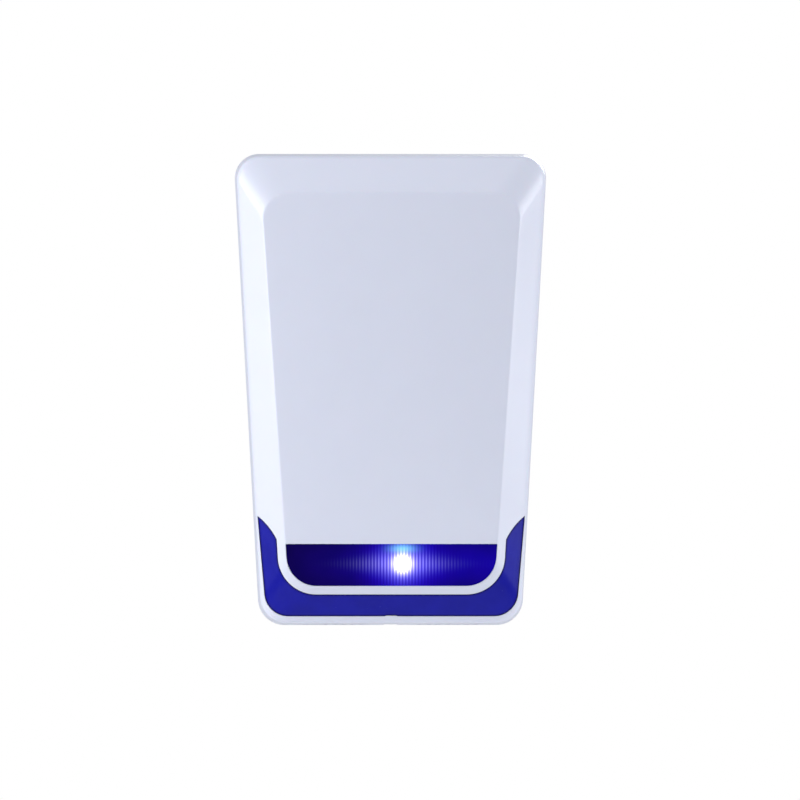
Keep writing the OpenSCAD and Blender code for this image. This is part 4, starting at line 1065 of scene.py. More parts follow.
@dataclass
class Cover:
    """The hinged front cover: a moulded shell with its rolled hinge edge, ears, screw seat and slots."""

    housing: Housing = field(default_factory=Housing)
    # The hinge: its rolled edge, ears and pin, its axis, and the edges of an ear from a hinge's middle.
    barrel: float = 7.0
    lug: float = 4.0
    pin: float = 1.55
    hinge_y: float = -16.0
    hinge_z: float = 143.0
    hinge_x: float = 60.0
    ear_near: float = 4.0
    ear_far: float = 8.0
    web_rear: float = 3.0
    web_drop: float = 2.2
    lip: float = 25.0
    rod_half: float = 110.0
    # The screw's pocket, hole and seat, and how far the seat starts above the housing's foot.
    screw_y: float = -24.0
    pocket: float = 4.4
    screw_hole: float = 2.3
    seat_z: float = -146.4
    seat_top: float = -143.4
    seat_half: float = 8.0
    sink: float = 2.2
    # The ledges that hold the sound mesh, and the sound slots.
    ledge_near: float = 13.0
    ledge_far: float = 59.0
    ledge_top: float = -145.06
    slot_front: float = -36.0
    slot_rear: float = -24.0
    slot_top: float = -144.0
    slot_half: float = 1.5
    slot_near: int = 18
    slot_far: int = 54
    slot_pitch: int = 6
    # The post that presses the tamper switch's plunger.
    tamper: tuple[float, float, float] = (62.0, -64.1, -88.0)
    post: float = 3.0
    post_length: float = 7.6
    # How far back the openings for the lens and the window are cut.
    lens_clearance: float = 0.2
    lens_rear: float = -52.0
    window_rear: float = -69.0

    def rolled_edge(self) -> Shape:
        """The hollow half barrel along the top, open over each hinge. Its lip is cut off by a box that is
        turned about X.

        Returns:
            The closed shape.
        """
        h, y, z, r = self.housing, self.hinge_y, self.hinge_z, self.barrel
        half = h.half(z) - h.wall - 2
        outer = plate(h.section(0), y - 0.3, y + r).joined([(self.rod(r, self.rod_half), Join.KEEP)])
        hollow = self.rod(r - h.wall, self.rod_half)
        core = plate(h.section(0, h.wall), y - 1, y + r).joined([(hollow, Join.KEEP)])
        lip = box((-half, 0, -2 * r), (half, 2 * r, 0))
        c, s = math.cos(math.radians(self.lip)), math.sin(math.radians(self.lip))
        turn = np.array([[1, 0, 0], [0, c, s], [0, -s, c]])
        lip = Shape(lip.points @ turn, lip.faces).at(0, y, z)
        under = box((-half, y - 1, z - 2 * r), (half, y + r, z))
        tools = [(shape, Join.CUT) for shape in (core, lip, under)]
        for x in (-self.hinge_x, self.hinge_x):
            near, far = x - self.ear_near, x + self.ear_near
            tools.append((box((near, y + 0.1, z - r), (far, y + 2 * r, z + r + 1)), Join.CUT))
        return outer.joined(tools)

    def rod(self, radius: float, half: float, middle: float = 0.0) -> Shape:
        """A rod along X on the hinge's axis, round a middle."""
        return peg(radius, -half, half, ORIGIN, 64).swapped(1, 0, 2).at(middle, self.hinge_y, self.hinge_z)

    def ear(self, low: float, high: float) -> Shape:
        """One hinge ear, with the pin's bore.

        Args:
            low: The x of its one side.
            high: The x of its other side.

        Returns:
            The closed shape.
        """
        y, z, middle = self.hinge_y, self.hinge_z, (low + high) / 2
        top = z + self.barrel - self.web_drop
        web = box((low, y - self.lug - self.web_rear, z), (high, y + self.lug, top))
        knuckle = self.rod(self.lug, (high - low) / 2, middle)
        return knuckle.joined([(web, Join.UNITE), (self.rod(self.pin, 6, middle), Join.CUT)])

    def build(self) -> bpy.types.Object:
        """Makes the cover: the shell and what stands on it are joined, and the openings are cut.

        Returns:
            The cover.
        """
        h, y = self.housing, self.screw_y
        inner, outer = h.rows(-h.seam, h.wall), h.rows(-h.seam, 0)
        shell = grid(np.concatenate([inner[::-1], outer]), capped=False)
        low = h.bottom + self.sink
        seat = box((-self.seat_half, y - 8, low), (self.seat_half, -h.seam - 0.1, self.seat_top))
        post = peg(self.post, 0, self.post_length, self.tamper, 32)
        ledge = box(
            (self.ledge_near, self.slot_front - 3, low), (self.ledge_far, self.slot_rear + 3, self.ledge_top)
        )
        tools = [(s, Join.UNITE) for s in (self.rolled_edge(), seat, post)]
        for side in (-1, 1):
            middle = side * self.hinge_x
            for near, far in ((self.ear_near, self.ear_far), (-self.ear_far, -self.ear_near)):
                tools.append((self.ear(middle + near, middle + far), Join.UNITE))
            tools.append((ledge if side > 0 else ledge.flipped(), Join.UNITE))
        tools.append((plate(h.lens(self.lens_clearance), -h.depth - 1, self.lens_rear), Join.CUT))
        tools.append((plate(h.window(), -h.depth - 1, self.window_rear), Join.CUT))
        tools += [(s, Join.CUT) for s in self.notch()]
        for x in range(self.slot_near, self.slot_far + 1, self.slot_pitch):
            slot = self.slot(x)
            tools += [(slot, Join.CUT), (slot.flipped(), Join.CUT)]
        parts = [(shell.joined(tools), COVER_PLASTIC)]
        return piece("cover_shell", parts, "cover", ["front_cover"])

    def notch(self) -> list[Shape]:
        """The screw's pocket and slot in the bottom wall, open to the rear. Each is a box with a round end,
        which is a peg stood up and stretched from below the foot to its top.

        Returns:
            The shapes to cut away.
        """
        made = []
        foot = self.housing.bottom - 1
        for radius, top in ((self.pocket, self.seat_z), (self.screw_hole, self.seat_top + 1)):
            end = peg(radius, -1, 1, ORIGIN, 48).swapped(0, 2, 1)
            end.points[:, 2] = np.where(end.points[:, 2] > 0, top, foot)
            made.append(end.at(0, self.screw_y, 0))
            made.append(box((-radius, self.screw_y, foot), (radius, 1 - self.housing.seam, top)))
        return made

    def slot(self, x: float) -> Shape:
        """One sound slot through the bottom wall, with round ends.

        Args:
            x: The slot's middle.

        Returns:
            The shape to cut away.
        """
        a, r = np.radians(np.linspace(0, 360, 24, endpoint=False)), self.slot_half
        middle = np.where(np.sin(a) >= 0, self.slot_rear - r, self.slot_front + r)
        ring = np.stack([x + r * np.cos(a), middle + r * np.sin(a)], -1)
        ends = (self.housing.bottom - 1, self.slot_top)
        return grid(np.array([np.column_stack([ring, np.full(24, z)]) for z in ends]))


@dataclass
class Lenses:
    """The ribbed strobe window and the U-shaped side lens."""

    housing: Housing = field(default_factory=Housing)
    # The window's pane, its ribs, and the ledge and upstand along its top.
    window_front: float = -72.2
    window_wall: float = 2.2
    window_clearance: float = 0.2
    trim: tuple[float, float] = (-80.0, -60.0)
    pane_half: float = 76.0
    rib_pitch: float = 2.0
    rib_depth: float = 0.35
    rib_steps: int = 8
    ledge_end: float = 6.0
    ledge_low: float = 3.0
    ledge_high: float = 1.0
    upstand: float = 1.4
    # The side lens's flange inside the cover, its skin, and the end of its skirt.
    flange: float = 1.2
    flange_grow: float = 1.6
    lens_inset: float = 0.3
    # Width of the painted shade along the side lens's edges.
    edge_width: float = 1.3
    skirt: float = -52.0
    # Where the lit lamp stands behind the window, which places the glow painted on the window.
    lamp_x: float = 7.0
    lamp_rise: float = 0.8

    def draped(self, points: np.ndarray, inset: float) -> np.ndarray:
        """Points moved along y on to the housing's surface at an inset.

        Args:
            points: Array of rows, columns and three coordinates.
            inset: Distance of the surface under the housing's.

        Returns:
            The moved points in the same array form. A point beside the surface goes to the skirt's end.
        """
        cloth = bpy.data.objects.new("cloth", bpy.data.meshes.new("cloth"))
        cloth.data.from_pydata(points.reshape(-1, 3) * MM, [], [])
        solid = self.housing.solid(-self.housing.seam - 1, inset)
        form = bpy.data.objects.new("form", solid.mesh("form"))
        for obj in (cloth, form):
            bpy.context.scene.collection.objects.link(obj)
        wrap = cloth.modifiers.new("wrap", "SHRINKWRAP")
        wrap.wrap_method, wrap.target, wrap.use_project_y = "PROJECT", form, True
        wrap.use_positive_direction, wrap.use_negative_direction = True, False
        result = evaluated(cloth)
        moved = points_of(result).reshape(points.shape)
        for mesh in (cloth.data, form.data, result):
            bpy.data.meshes.remove(mesh)
        missed = moved[..., 1] < -self.housing.depth
        moved[..., 1] = np.where(missed, self.skirt, moved[..., 1])
        return moved

    def side_lens(self) -> bpy.types.Object:
        """Makes the side lens. Its skin is a grid: one way along the U at equal shares of each side's length,
        the other way across it, with lines close to both edges so that the painted shade along its edges
        stays crisp.

        Returns:
            The lens.
        """
        h = self.housing
        share = np.linspace(0, 1, 170)
        sides = []
        for path in h.lens_sides():
            run = lengths(path)
            right = np.stack([np.interp(share * run[-1], run, path[:, i]) for i in (0, 1)], -1)
            sides.append(np.concatenate([right, right[-2::-1] * [-1, 1]]))
        lines = [0, 0.02, 0.05, 0.09, 0.15, 0.3, 0.5, 0.7, 0.85, 0.91, 0.95, 0.98, 1]
        across = np.array(lines)[None, :, None]
        flat = sides[0][:, None] * (1 - across) + sides[1][:, None] * across
        sheet = np.stack([flat[..., 0], np.full(flat.shape[:2], -h.depth - 10), flat[..., 1]], -1)
        front = self.draped(sheet, self.lens_inset)
        rear = self.draped(sheet, h.wall + 0.2)
        body = grid(np.concatenate([front, rear[:, ::-1]], 1))
        under = h.wall + 0.1
        shell = h.solid(-h.seam, under).joined(
            [
                (h.solid(1 - h.seam, under + self.flange), Join.CUT),
                (plate(h.lens(self.flange_grow), -h.depth - 1, self.skirt), Join.KEEP),
            ]
        )
        finish = SideLensFinish()
        parts = [(body, finish), (shell, finish)]
        obj = piece("side_lens_blue", parts, "cover", ["side_lens"], 40)
        self.mark_edges(obj.data)
        return obj

    def mark_edges(self, mesh: bpy.types.Mesh) -> None:
        """Writes edge_share, which places the painted shade along the lens's edges: each point's distance
        from the lens's outline, from 0 at the edge to 1 at the edge's width. The distance to each straight
        piece of the outline is worked out for all points at once.

        Args:
            mesh: The lens's mesh.
        """
        flat = points_of(mesh)[:, [0, 2]]
        start = self.housing.lens()
        step = np.roll(start, -1, 0) - start
        nearest = np.full(len(flat), 1e9)
        for a, d in zip(start, step):
            t = np.clip(((flat - a) @ d) / max(d @ d, 1e-9), 0, 1)[:, None]
            nearest = np.minimum(nearest, np.linalg.norm(flat - a - t * d, axis=1))
        attribute = mesh.attributes.new("edge_share", "FLOAT", "POINT")
        attribute.data.foreach_set("value", np.clip(nearest / self.edge_width, 0, 1).astype(np.float32))

    def window(self) -> bpy.types.Object:
        """Makes the strobe window: a flat pane whose back is fluted, with a ledge along the top that turns
        up at its end. The flutes are a cosine of x with the rib pitch.

        Returns:
            The window.
        """
        h = self.housing
        half = self.pane_half
        x = np.linspace(-half, half, int(2 * half / self.rib_pitch) * self.rib_steps + 1)
        rear = self.window_front + self.window_wall
        flutes = rear - self.rib_depth * (0.5 - 0.5 * np.cos(2 * np.pi * x / self.rib_pitch))
        ring_x = np.concatenate([x, x[::-1]])
        ring_y = np.concatenate([flutes, np.full(len(x), self.window_front)])
        rows = [np.stack([ring_x, ring_y, np.full(len(ring_x), z)], -1) for z in (h.bottom, 0)]
        outline = plate(h.window(-self.window_clearance), *self.trim)
        pane = grid(np.array(rows)).joined([(outline, Join.KEEP)])
        high = corners("strobe_window")[1]
        end = h.panel_half(h.window_top) - self.ledge_end
        low_z, high_z = h.window_top - self.ledge_low, h.window_top - self.ledge_high
        ledge = box((-end, rear, low_z), (end, high[1], high_z))
        upstand = box((-end, high[1] - self.upstand, low_z), (end, high[1], high[2]))
        lamp_z = (h.panel_bottom + h.window_top) / 2 + self.lamp_rise
        # The window's finish paints the lamp's glow on as emission.
        finish = Window(self.lamp_x, lamp_z, self.rib_pitch)
        parts = [(pane, finish), (ledge.joined([(upstand, Join.UNITE)]), finish)]
        return piece("strobe_pane", parts, "cover", ["strobe_window"], 35)


@dataclass
class Fixings:
    """The small pan-head screws in their sets, and the cover screw."""

    sets: tuple[str, ...] = ("horn_screws", "shield_screws", "board_screws", "strap_screws", "strobe_screws")
    head: float = 2.6
    head_height: float = 2.0
    shank: float = 1.4
    recess: float = 1.5
    cover_head_height: float = 2.2
    cover_shank: float = 2.0
    cover_recess: float = 2.2
    pitch: float = 0.7
    thread_depth: float = 0.25

    def thread(self, radius: float, length: float, columns: int = 20) -> Shape:
        """A threaded shank along Y, from 0 back to its length. The radius falls by the thread's depth times
        a cosine of the height in turns minus the angle, which is a helix, and the end is tapered.

        Args:
            radius: Outer radius of the thread.
            length: Length of the shank.
            columns: Number of faces round it.

        Returns:
            The closed shape.
        """
        turns = length / self.pitch
        y = np.linspace(0, length, max(int(turns * 6), 12))
        a = np.arange(columns) * 2 * np.pi / columns
        wave = 0.5 - 0.5 * np.cos(2 * np.pi * y[:, None] / self.pitch - a)
        taper = np.clip((length - y) / 1.2, 0.35, 1)[:, None]
        r = (radius - self.thread_depth * wave) * taper
        points = np.stack([r * np.cos(a), np.repeat(y[:, None], columns, 1), r * np.sin(a)], -1)
        return grid(points)

    def screw(self, radius: float, height: float, shank: float, length: float, recess: float) -> Shape:
        """A pan-head screw with a cross recess, its seat at y = 0 and its head forward of that.

        Args:
            radius: Radius of the head.
            height: Height of the head.
            shank: Radius of the thread.
            length: Length under the head.
            recess: Half the width across the cross.

        Returns:
            The head and the thread.
        """
        dome = arc((radius - height * 0.55, height * 0.45), height * 0.55, 0, 90, 6)
        head = lathe([[0, 0], [radius, 0], *dome, [0, height]], ORIGIN, 36)
        deep, thin = height * 0.6, recess * 0.2
        for wide, high in ((recess, thin), (thin, recess)):
            head = head.joined([(box((-wide, -height - 1, -high), (wide, -height + deep, high)), Join.CUT)])
        return head + self.thread(shank, length)

    def build(self) -> None:
        """Makes each set of small screws from its node's box: one in each corner of the box, in a turn of
        its own."""
        for order, node in enumerate(self.sets):
            low, high = corners(node)
            seat = low[1] + self.head_height
            one = self.screw(self.head, self.head_height, self.shank, high[1] - seat, self.recess)
            xs = (low[0] + self.head, high[0] - self.head)
            zs = sorted({round(low[2] + self.head, 2), round(high[2] - self.head, 2)})
            made = [
                one.turned(37.0 * (i + 2 * j + 3 * order) + 11).at(x, seat, z)
                for i, x in enumerate(xs)
                for j, z in enumerate(zs)
            ]
            piece(node.replace("screws", "pan_screws"), [(total(made), ZINC)], "base", [node])
        self.cover_screw()

    def cover_screw(self) -> None:
        """Makes the cover screw: the same screw with Y and Z exchanged, so that it points up."""
        low, high = corners("cover_screw")
        radius, seat = (high[0] - low[0]) / 2, low[2] + self.cover_head_height
        one = self.screw(radius, self.cover_head_height, self.cover_shank, high[2] - seat, self.cover_recess)
        upright = one.swapped(0, 2, 1).at(0, (low[1] + high[1]) / 2, seat)
        piece("cover_screw_m4", [(upright, STAINLESS)], "screw", ["cover_screw"])


@dataclass
class SoundMesh:
    """Woven stainless wires in a thin rim, over each set of sound slots."""

    wire: float = 0.14
    pitch: float = 1.6
    rim: float = 1.4
    inner_x: float = 14.0

    def weave(self, low: np.ndarray, high: np.ndarray, along: int) -> list[Shape]:
        """Wires along one axis. Each rises and falls as a cosine of its place, opposite to its neighbours,
        so that it goes over one crossing wire and under the next.

        Args:
            low: Lowest corner of the mesh.
            high: Highest corner of the mesh.
            along: 0 for wires along X and 1 for wires along Y.

        Returns:
            The wires.
        """
        other = 1 - along
        middle = (low[2] + high[2]) / 2
        made = []
        for i, place in enumerate(np.arange(low[other] + self.pitch, high[other] - 0.5, self.pitch)):
            run = np.arange(low[along] + 0.4, high[along] - 0.4, self.pitch / 3)
            path = np.zeros((len(run), 3))
            path[:, along], path[:, other] = run, place
            phase = np.pi * (i + (along == 1))
            path[:, 2] = middle + self.wire * 0.9 * np.cos(np.pi * (run - low[along]) / self.pitch + phase)
            made.append(tube(path, self.wire, 5))
        return made

    def build(self) -> bpy.types.Object:
        """Makes the right mesh and its mirror image.

        Returns:
            The mesh.
        """
        low, high = corners("sound_mesh")
        low[0] = self.inner_x
        z0, z1, r = low[2] + 0.05, high[2] - 0.05, self.rim
        y0, y1 = low[1] + r - 0.1, high[1] - r + 0.1
        rails = [
            box((low[0], low[1], z0), (high[0], low[1] + r, z1)),
            box((low[0], high[1] - r, z0), (high[0], high[1], z1)),
            box((low[0], y0, z0), (low[0] + r, y1, z1)),
            box((high[0] - r, y0, z0), (high[0], y1, z1)),
        ]
        right = total([*rails, *self.weave(low, high, 0), *self.weave(low, high, 1)])
        parts = [(right + right.flipped(), STAINLESS)]
        return piece("sound_mesh_woven", parts, "cover", ["sound_mesh"])


@dataclass
class Horn:
    """The siren's exponential horn with its four lugs."""

    throat: float = 8.0
    mouth: float = 46.0
    wall: float = 2.0
    length: float = 34.0
    rear: float = -14.0
    centre_z: float = 80.0
    back: float = 26.0
    lug: float = 4.0
    lug_depth: float = 3.0
    bore: float = 1.5
    reach: float = 40.0

    def build(self) -> bpy.types.Object:
        """Makes the horn. Its inner radius is the throat's times the ratio of mouth to throat to the power
        of the share of the length.

        Returns:
            The horn.
        """
        t = np.linspace(0, 1, 40)
        r = self.throat * (self.mouth / self.throat) ** t
        inner = np.stack([r, t * self.length], -1).tolist()
        lip = self.mouth + 2
        rim = [[self.mouth + 1.4, self.length], [lip, self.length - 0.6], [lip, self.length - 3]]
        keep = (t < 0.94) & (t > 0.08)
        outer = np.stack([r + self.wall, t * self.length - 1], -1)[keep][::-1].tolist()
        back = [[self.back, self.wall], [self.back, 0], [self.throat, 0]]
        horn = lathe([*inner, *rim, *outer, *back], (0, self.rear, self.centre_z), 96)
        front = self.rear - self.length
        rear = front + self.lug_depth
        tools = []
        for x in (-self.reach, self.reach):
            for z in (-self.reach, self.reach):
                at = (x, rear, self.centre_z + z)
                arm = box((self.mouth + 1, front, -self.lug), (math.hypot(x, z), rear, self.lug))
                turned = arm.turned(math.degrees(math.atan2(z, x))).at(0, 0, self.centre_z)
                tools.append((turned, Join.UNITE))
                tools.append((peg(self.lug, 0, self.lug_depth, at, 32), Join.UNITE))
                tools.append((peg(self.bore, -1, self.lug_depth + 1, at, 24), Join.CUT))
        parts = [(horn.joined(tools), HORN_PLASTIC)]
        return piece("horn_flare", parts, "base", ["siren_horn"])


@dataclass
class Wiring:
    """The internal leads: insulated battery leads with push-on sleeves, and twisted pairs for the rest."""

    radius: float = 1.1
    strand: float = 0.54
    twist: float = 9.0
    off_axis: tuple[float, float, float] = (0.31, 0.22, 0.92)  # a direction that no lead runs along
    socket_y: float = -19.8
    terminal: tuple[float, float, float] = (38.5, -19.4, -34.0)
    sleeve_low: float = 1.2
    sleeve_high: float = 10.0

    def routes(self) -> dict[str, list[tuple[float, float, float]]]:
        """The points that each lead follows, given between its two sockets.

        Returns:
            The points of each lead, by its node.
        """
        s = self.socket_y
        x, y, _ = self.terminal
        return {
            "battery_lead_red": [
                (x, y, -24), (39, -22, -20), (37, -29, -14), (32, -30, -14), (31, -26, -16), (31, s, -16)
            ],
            "battery_lead_black": [
                (-x, y, -24), (-38, -24, -21), (-30, -30, -20), (-6, -30, -22), (18, -31, -20),
                (25, -28, -16), (25, s, -16),
            ],
            "siren_leads": [
                (20, -8, 64.5), (25, -8, 48), (34, -14, 34), (46, -26, 22), (54, -30, 10), (54, -26, 3),
                (54, s, 3),
            ],
            "strobe_leads": [
                (-54, s, -3), (-56, -26, -5), (-64, -26, -14), (-71, -18, -30), (-73, -13, -56),
                (-74, -22, -80), (-68, -44, -94), (-56, -53, -103), (-43, -53.4, -106),
            ],
            "cover_tamper_leads": [
                (62, -50, -83), (63, -48, -74), (68, -32, -64), (69, -18, -50), (66, -16, -36),
                (58, -24, -24), (47, -29, -18), (44, -26, -16), (44, s, -16),
            ],
            "wall_tamper_leads": [
                (-62, -13, -82), (-63, -14, -75), (-67, -15, -64), (-66, -14, -44), (-58, -18, -30),
                (-46, -28, -20), (-42, -26, -15), (-42, s, -15),
            ],
        }

    def pair(self, path: np.ndarray) -> Shape:
        """Two strands wound round a path: each keeps one strand's radius from it, at an angle that grows with
        the length, half a turn from the other.

        Args:
            path: Points of the path.

        Returns:
            Both strands.
        """
        tangent = unit(np.gradient(path, axis=0))
        side = unit(np.cross(tangent, self.off_axis))
        up = np.cross(tangent, side)
        run = lengths(path)
        strands = []
        for start in (0, np.pi):
            a = (2 * np.pi * run / self.twist + start)[:, None]
            strands.append(tube(path + self.strand * (np.cos(a) * side + np.sin(a) * up), self.strand, 8))
        return strands[0] + strands[1]

    def sleeve(self, x: float) -> Shape:
        """The soft sleeve over a push-on connector: sections are squarish ovals, where x and y are the half
        sizes times the square root of the cosine and of the sine, drawn in at the neck.

        Args:
            x: The connector's place across the siren.

        Returns:
            The closed shape.
        """
        _, y, z = self.terminal
        t = np.linspace(0, 1, 12)[:, None]
        knots = [0, 0.06, 0.6, 0.9, 1]
        width = np.interp(t, knots, [3.6, 3.9, 3.9, 2.2, 1.5])
        depth = np.interp(t, knots, [2.1, 2.4, 2.4, 1.8, 1.4])
        height = z + self.sleeve_low + (self.sleeve_high - self.sleeve_low) * t
        a = np.linspace(0, 2 * np.pi, 32, endpoint=False)
        across, forward = (np.sign(v) * np.abs(v) ** 0.5 for v in (np.cos(a), np.sin(a)))
        return grid(np.stack([x + width * across, y + depth * forward, np.repeat(height, 32, 1)], -1))

    def build(self) -> None:
        """Makes every lead. A battery lead's colour is the last word of its name."""
        colours = {"siren": "white", "strobe": "blue", "cover": "grey", "wall": "grey"}
        for node, points in self.routes().items():
            words = node.split("_")
            colour = colours.get(words[0], words[-1])
            path = smooth_path(points)
            if node.startswith("battery"):
                shape = tube(path, self.radius, 14) + self.sleeve(float(points[0][0]))
            else:
                shape = self.pair(path)
            name = node.replace("leads", "pair").replace("lead", "cable")
            piece(name, [(shape, WIRES[colour])], "base", [node])


@dataclass
class Springs:
    """The coil springs behind the two tamper plungers."""

    wire: float = 0.3
    turns: tuple[tuple[str, int], ...] = (("cover", 6), ("wall", 5))

    def build(self) -> None:
        """Makes each spring in its node's box. The rise is eased at both ends, where the coils close."""
        for side, turns in self.turns:
            node = f"{side}_tamper_spring"
            low, high = corners(node)
            t = np.linspace(0, 1, turns * 28)
            a = t * turns * 2 * np.pi
            rise = (t - 0.1 * np.sin(2 * np.pi * t)) * (high[1] - low[1] - 2 * self.wire) + low[1] + self.wire
            r = (high[2] - low[2]) / 2 - self.wire
            middle = (low + high) / 2
            path = np.stack([middle[0] + r * np.cos(a), rise, middle[2] + r * np.sin(a)], -1)
            parts = [(tube(path, self.wire, 8), SPRING_STEEL)]
            piece(f"{side}_tamper_coil", parts, f"{side}_plunger", [node])


@dataclass
class Electronics:
    """The parts on the main board that have a shape of their own."""

    front: float = -12.6
    coil: tuple[float, float] = (20.0, -1.0)
    lead_pitch: float = 2.54
    # Place across and up, radius and height of each capacitor.
    cans: tuple[tuple[int, ...], ...] = ((10, 15, 4, 12), (20, 15, 5, 14), (32, 15, 5, 14))
    # Place across and up, width, height, rise, legs on a side and their pitch, for each chip.
    packages: tuple[tuple[float, float, float, float, float, int, float], ...] = (
        (-12, -1, 8.4, 8.4, 1.4, 11, 0.65),
        (-32, -1, 3.6, 5.6, 1.5, 4, 1.27),
        (0, 1, 3.6, 3.6, 1.5, 3, 0.95),
    )

    def capacitors(self) -> bpy.types.Object:
        """Makes the capacitors: a sleeve crimped near its foot, and a metal top scored with a cross.

        Returns:
            The capacitors.
        """
        parts = []
        for x, z, r, h in self.cans:
            at = (x, self.front, z)
            crimp = [[r, 0.6], [r, 1.6], [r - 0.35, 2.0], [r - 0.35, 2.4], [r, 2.8]]
            rim = [*arc((r - 0.7, h - 0.7), 0.7, 0, 90, 5), [r - 1.1, h], [r - 1.1, h - 0.5], [0, h - 0.5]]
            parts.append((lathe([[0, 0], [r - 0.3, 0], *crimp, *rim], at, 40), SLEEVE))
            top = lathe([[0, h - 0.6], [r - 1.2, h - 0.6], [r - 1.2, h - 0.25], [0, h - 0.2]], at, 32)
            y = self.front - h + 0.4
            for wide, high in ((r * 0.6, 0.12), (0.12, r * 0.6)):
                top = top.joined([(box((x - wide, y - 1, z - high), (x + wide, y, z + high)), Join.CUT)])
            parts.append((top, TIN))
        return piece("capacitor_cans", parts, "base", ["capacitors"])

    def drive_coil(self) -> bpy.types.Object:
        """Makes the coil: a dark bobbin, and windings whose outside is a row of half rounds.

        Returns:
            The coil.
        """
        x, z = self.coil
        at = (x, self.front, z)
        rims = [[0, 0], [7, 0], [7, 1.4], [4.2, 1.5], [4.2, 8], [7, 8.1], [7, 9.5]]
        rims += [[3, 9.5], [3, 8.6], [0, 8.6]]
        turns = np.linspace(1.5, 8.0, 97)
        r = 5.6 + 0.25 * np.abs(np.sin(np.pi * (turns - 1.5) / 0.5))
        wound = [[4.1, 1.5], *np.stack([r, turns], -1).tolist(), [4.1, 8.0], [4.1, 1.5]]
        parts = [(lathe(rims, at, 48), CHIP_BLACK), (lathe(wound, at, 48), COPPER)]
        return piece("drive_coil_wound", parts, "base", ["drive_coil"])

    def chips(self) -> bpy.types.Object:
        """Makes the chips: bodies with a soft edge and a dimple at pin 1, and bent legs at an even pitch.

        Returns:
            The chips.
        """
        parts = []
        legs: list[Shape] = []
        for x, z, w, h, rise, pins, pitch in self.packages:
            low = (x - w / 2, self.front - rise, z - h / 2)
            body = soft_box(low, (x + w / 2, self.front - 0.15, z + h / 2), 0.2)
            dot = peg(0.4, 0.1, -0.1, (x - w / 2 + 0.9, self.front - rise, z + h / 2 - 0.9), 16)
            parts.append((body.joined([(dot, Join.CUT)]), CHIP_BLACK))
            for i in range(pins):
                shift = (i - (pins - 1) / 2) * pitch
                side = self.leg(x + w / 2, z + shift, rise)
                legs += [side, side.at(-x, 0, 0).flipped().at(x, 0, 0)]
                if pins > 8:
                    legs += [self.leg(w / 2, shift, rise).turned(angle).at(x, 0, z) for angle in (90, -90)]
        parts.append((total(legs), TIN))
        return piece("chips_with_legs", parts, "base", ["chips"])

    def leg(self, x: float, z: float, rise: float) -> Shape:
        """A gull-wing leg: a flat strip along three straight runs.

        Args:
            x: Where it leaves the chip.
            z: Its place along the chip's side.
            rise: Height of the chip.

        Returns:
            The closed shape.
        """
        y, foot = self.front - rise * 0.5, self.front - 0.12
        line = [[x - 0.1, y], [x + 0.25, y], [x + 0.4, foot], [x + 0.8, foot]]
        around = np.array([[-0.07, -0.13], [-0.07, 0.13], [0.07, 0.13], [0.07, -0.13]])
        rows = [np.column_stack([np.full(4, px), around + [py, z]]) for px, py in line]
        return grid(np.array(rows))

    def transistors(self) -> bpy.types.Object:
        """Makes the power transistors: a soft-edged body, a metal tab with a hole, and three legs.

        Returns:
            The transistors.
        """
        parts = []
        y = self.front - 3
        for x, z in ((36, -3), (43, -3)):
            parts.append((soft_box((x - 2.25, y - 9, z - 5), (x + 0.95, y, z + 5), 0.3), CHIP_BLACK))
            tab = box((x + 0.95, y - 14, z - 5), (x + 2.25, y, z + 5))
            hole = peg(1.8, -3, 3, ORIGIN, 24).swapped(1, 0, 2).at(x + 1.6, y - 11.4, z)
            parts.append((tab.joined([(hole, Join.CUT)]), TIN))
            for pin in (z - self.lead_pitch, z, z + self.lead_pitch):
                parts.append((box((x - 0.3, y - 0.1, pin - 0.35), (x + 0.3, self.front, pin + 0.35)), TIN))
        return piece("power_pair", parts, "base", ["power_transistors"])

    def build(self) -> None:
        """Makes the board's own pieces."""
        self.capacitors()
        self.drive_coil()
        self.chips()
        self.transistors()


@dataclass
class Battery:
    """The sealed battery's case with its welded lid."""

    corner: float = 2.5
    lid: float = 6.0
    vents: int = 6
    vent: float = 3.2
    vent_margin: float = 22.0

    def build(self) -> bpy.types.Object:
        """Makes the case: one rounded outline carried up it, drawn in at the foot, at the lid's groove and at
        the top edge, with a row of vent caps' wells in the lid.

        Returns:
            The case.
        """
        low, high = corners("battery_case")
        foot, top = low[2], high[2]
        seam = top - self.lid
        stations = [(foot, 1.2), (foot + 0.4, 0.4), (foot + 1.4, 0)]
        stations += [(seam - 0.7, 0), (seam - 0.5, 0.5), (seam + 0.1, 0.5), (seam + 0.3, 0.15)]
        stations += [(top - 1.6, 0.25), (top - 0.5, 0.7), (top, 1.8)]
        sharp = np.array([[low[0], low[1]], [high[0], low[1]], [high[0], high[1]], [low[0], high[1]]])
        inwards = np.sign(sharp.mean(0) - sharp)
        rows = []
        for z, inset in stations:
            ring = rounded(sharp + inwards * inset, np.full(4, self.corner), 8, 4)
            rows.append(np.column_stack([ring, np.full(len(ring), z)]))
        y = (low[1] + high[1]) / 2 - 8
        well = peg(self.vent, -1, 0.5, ORIGIN, 28).swapped(0, 2, 1)
        places = np.linspace(low[0] + self.vent_margin, high[0] - self.vent_margin, self.vents)
        case = grid(np.array(rows)).joined([(well.at(x, y, top), Join.CUT) for x in places])
        return piece("battery_block", [(case, BATTERY_PLASTIC)], "base", ["battery_case"])


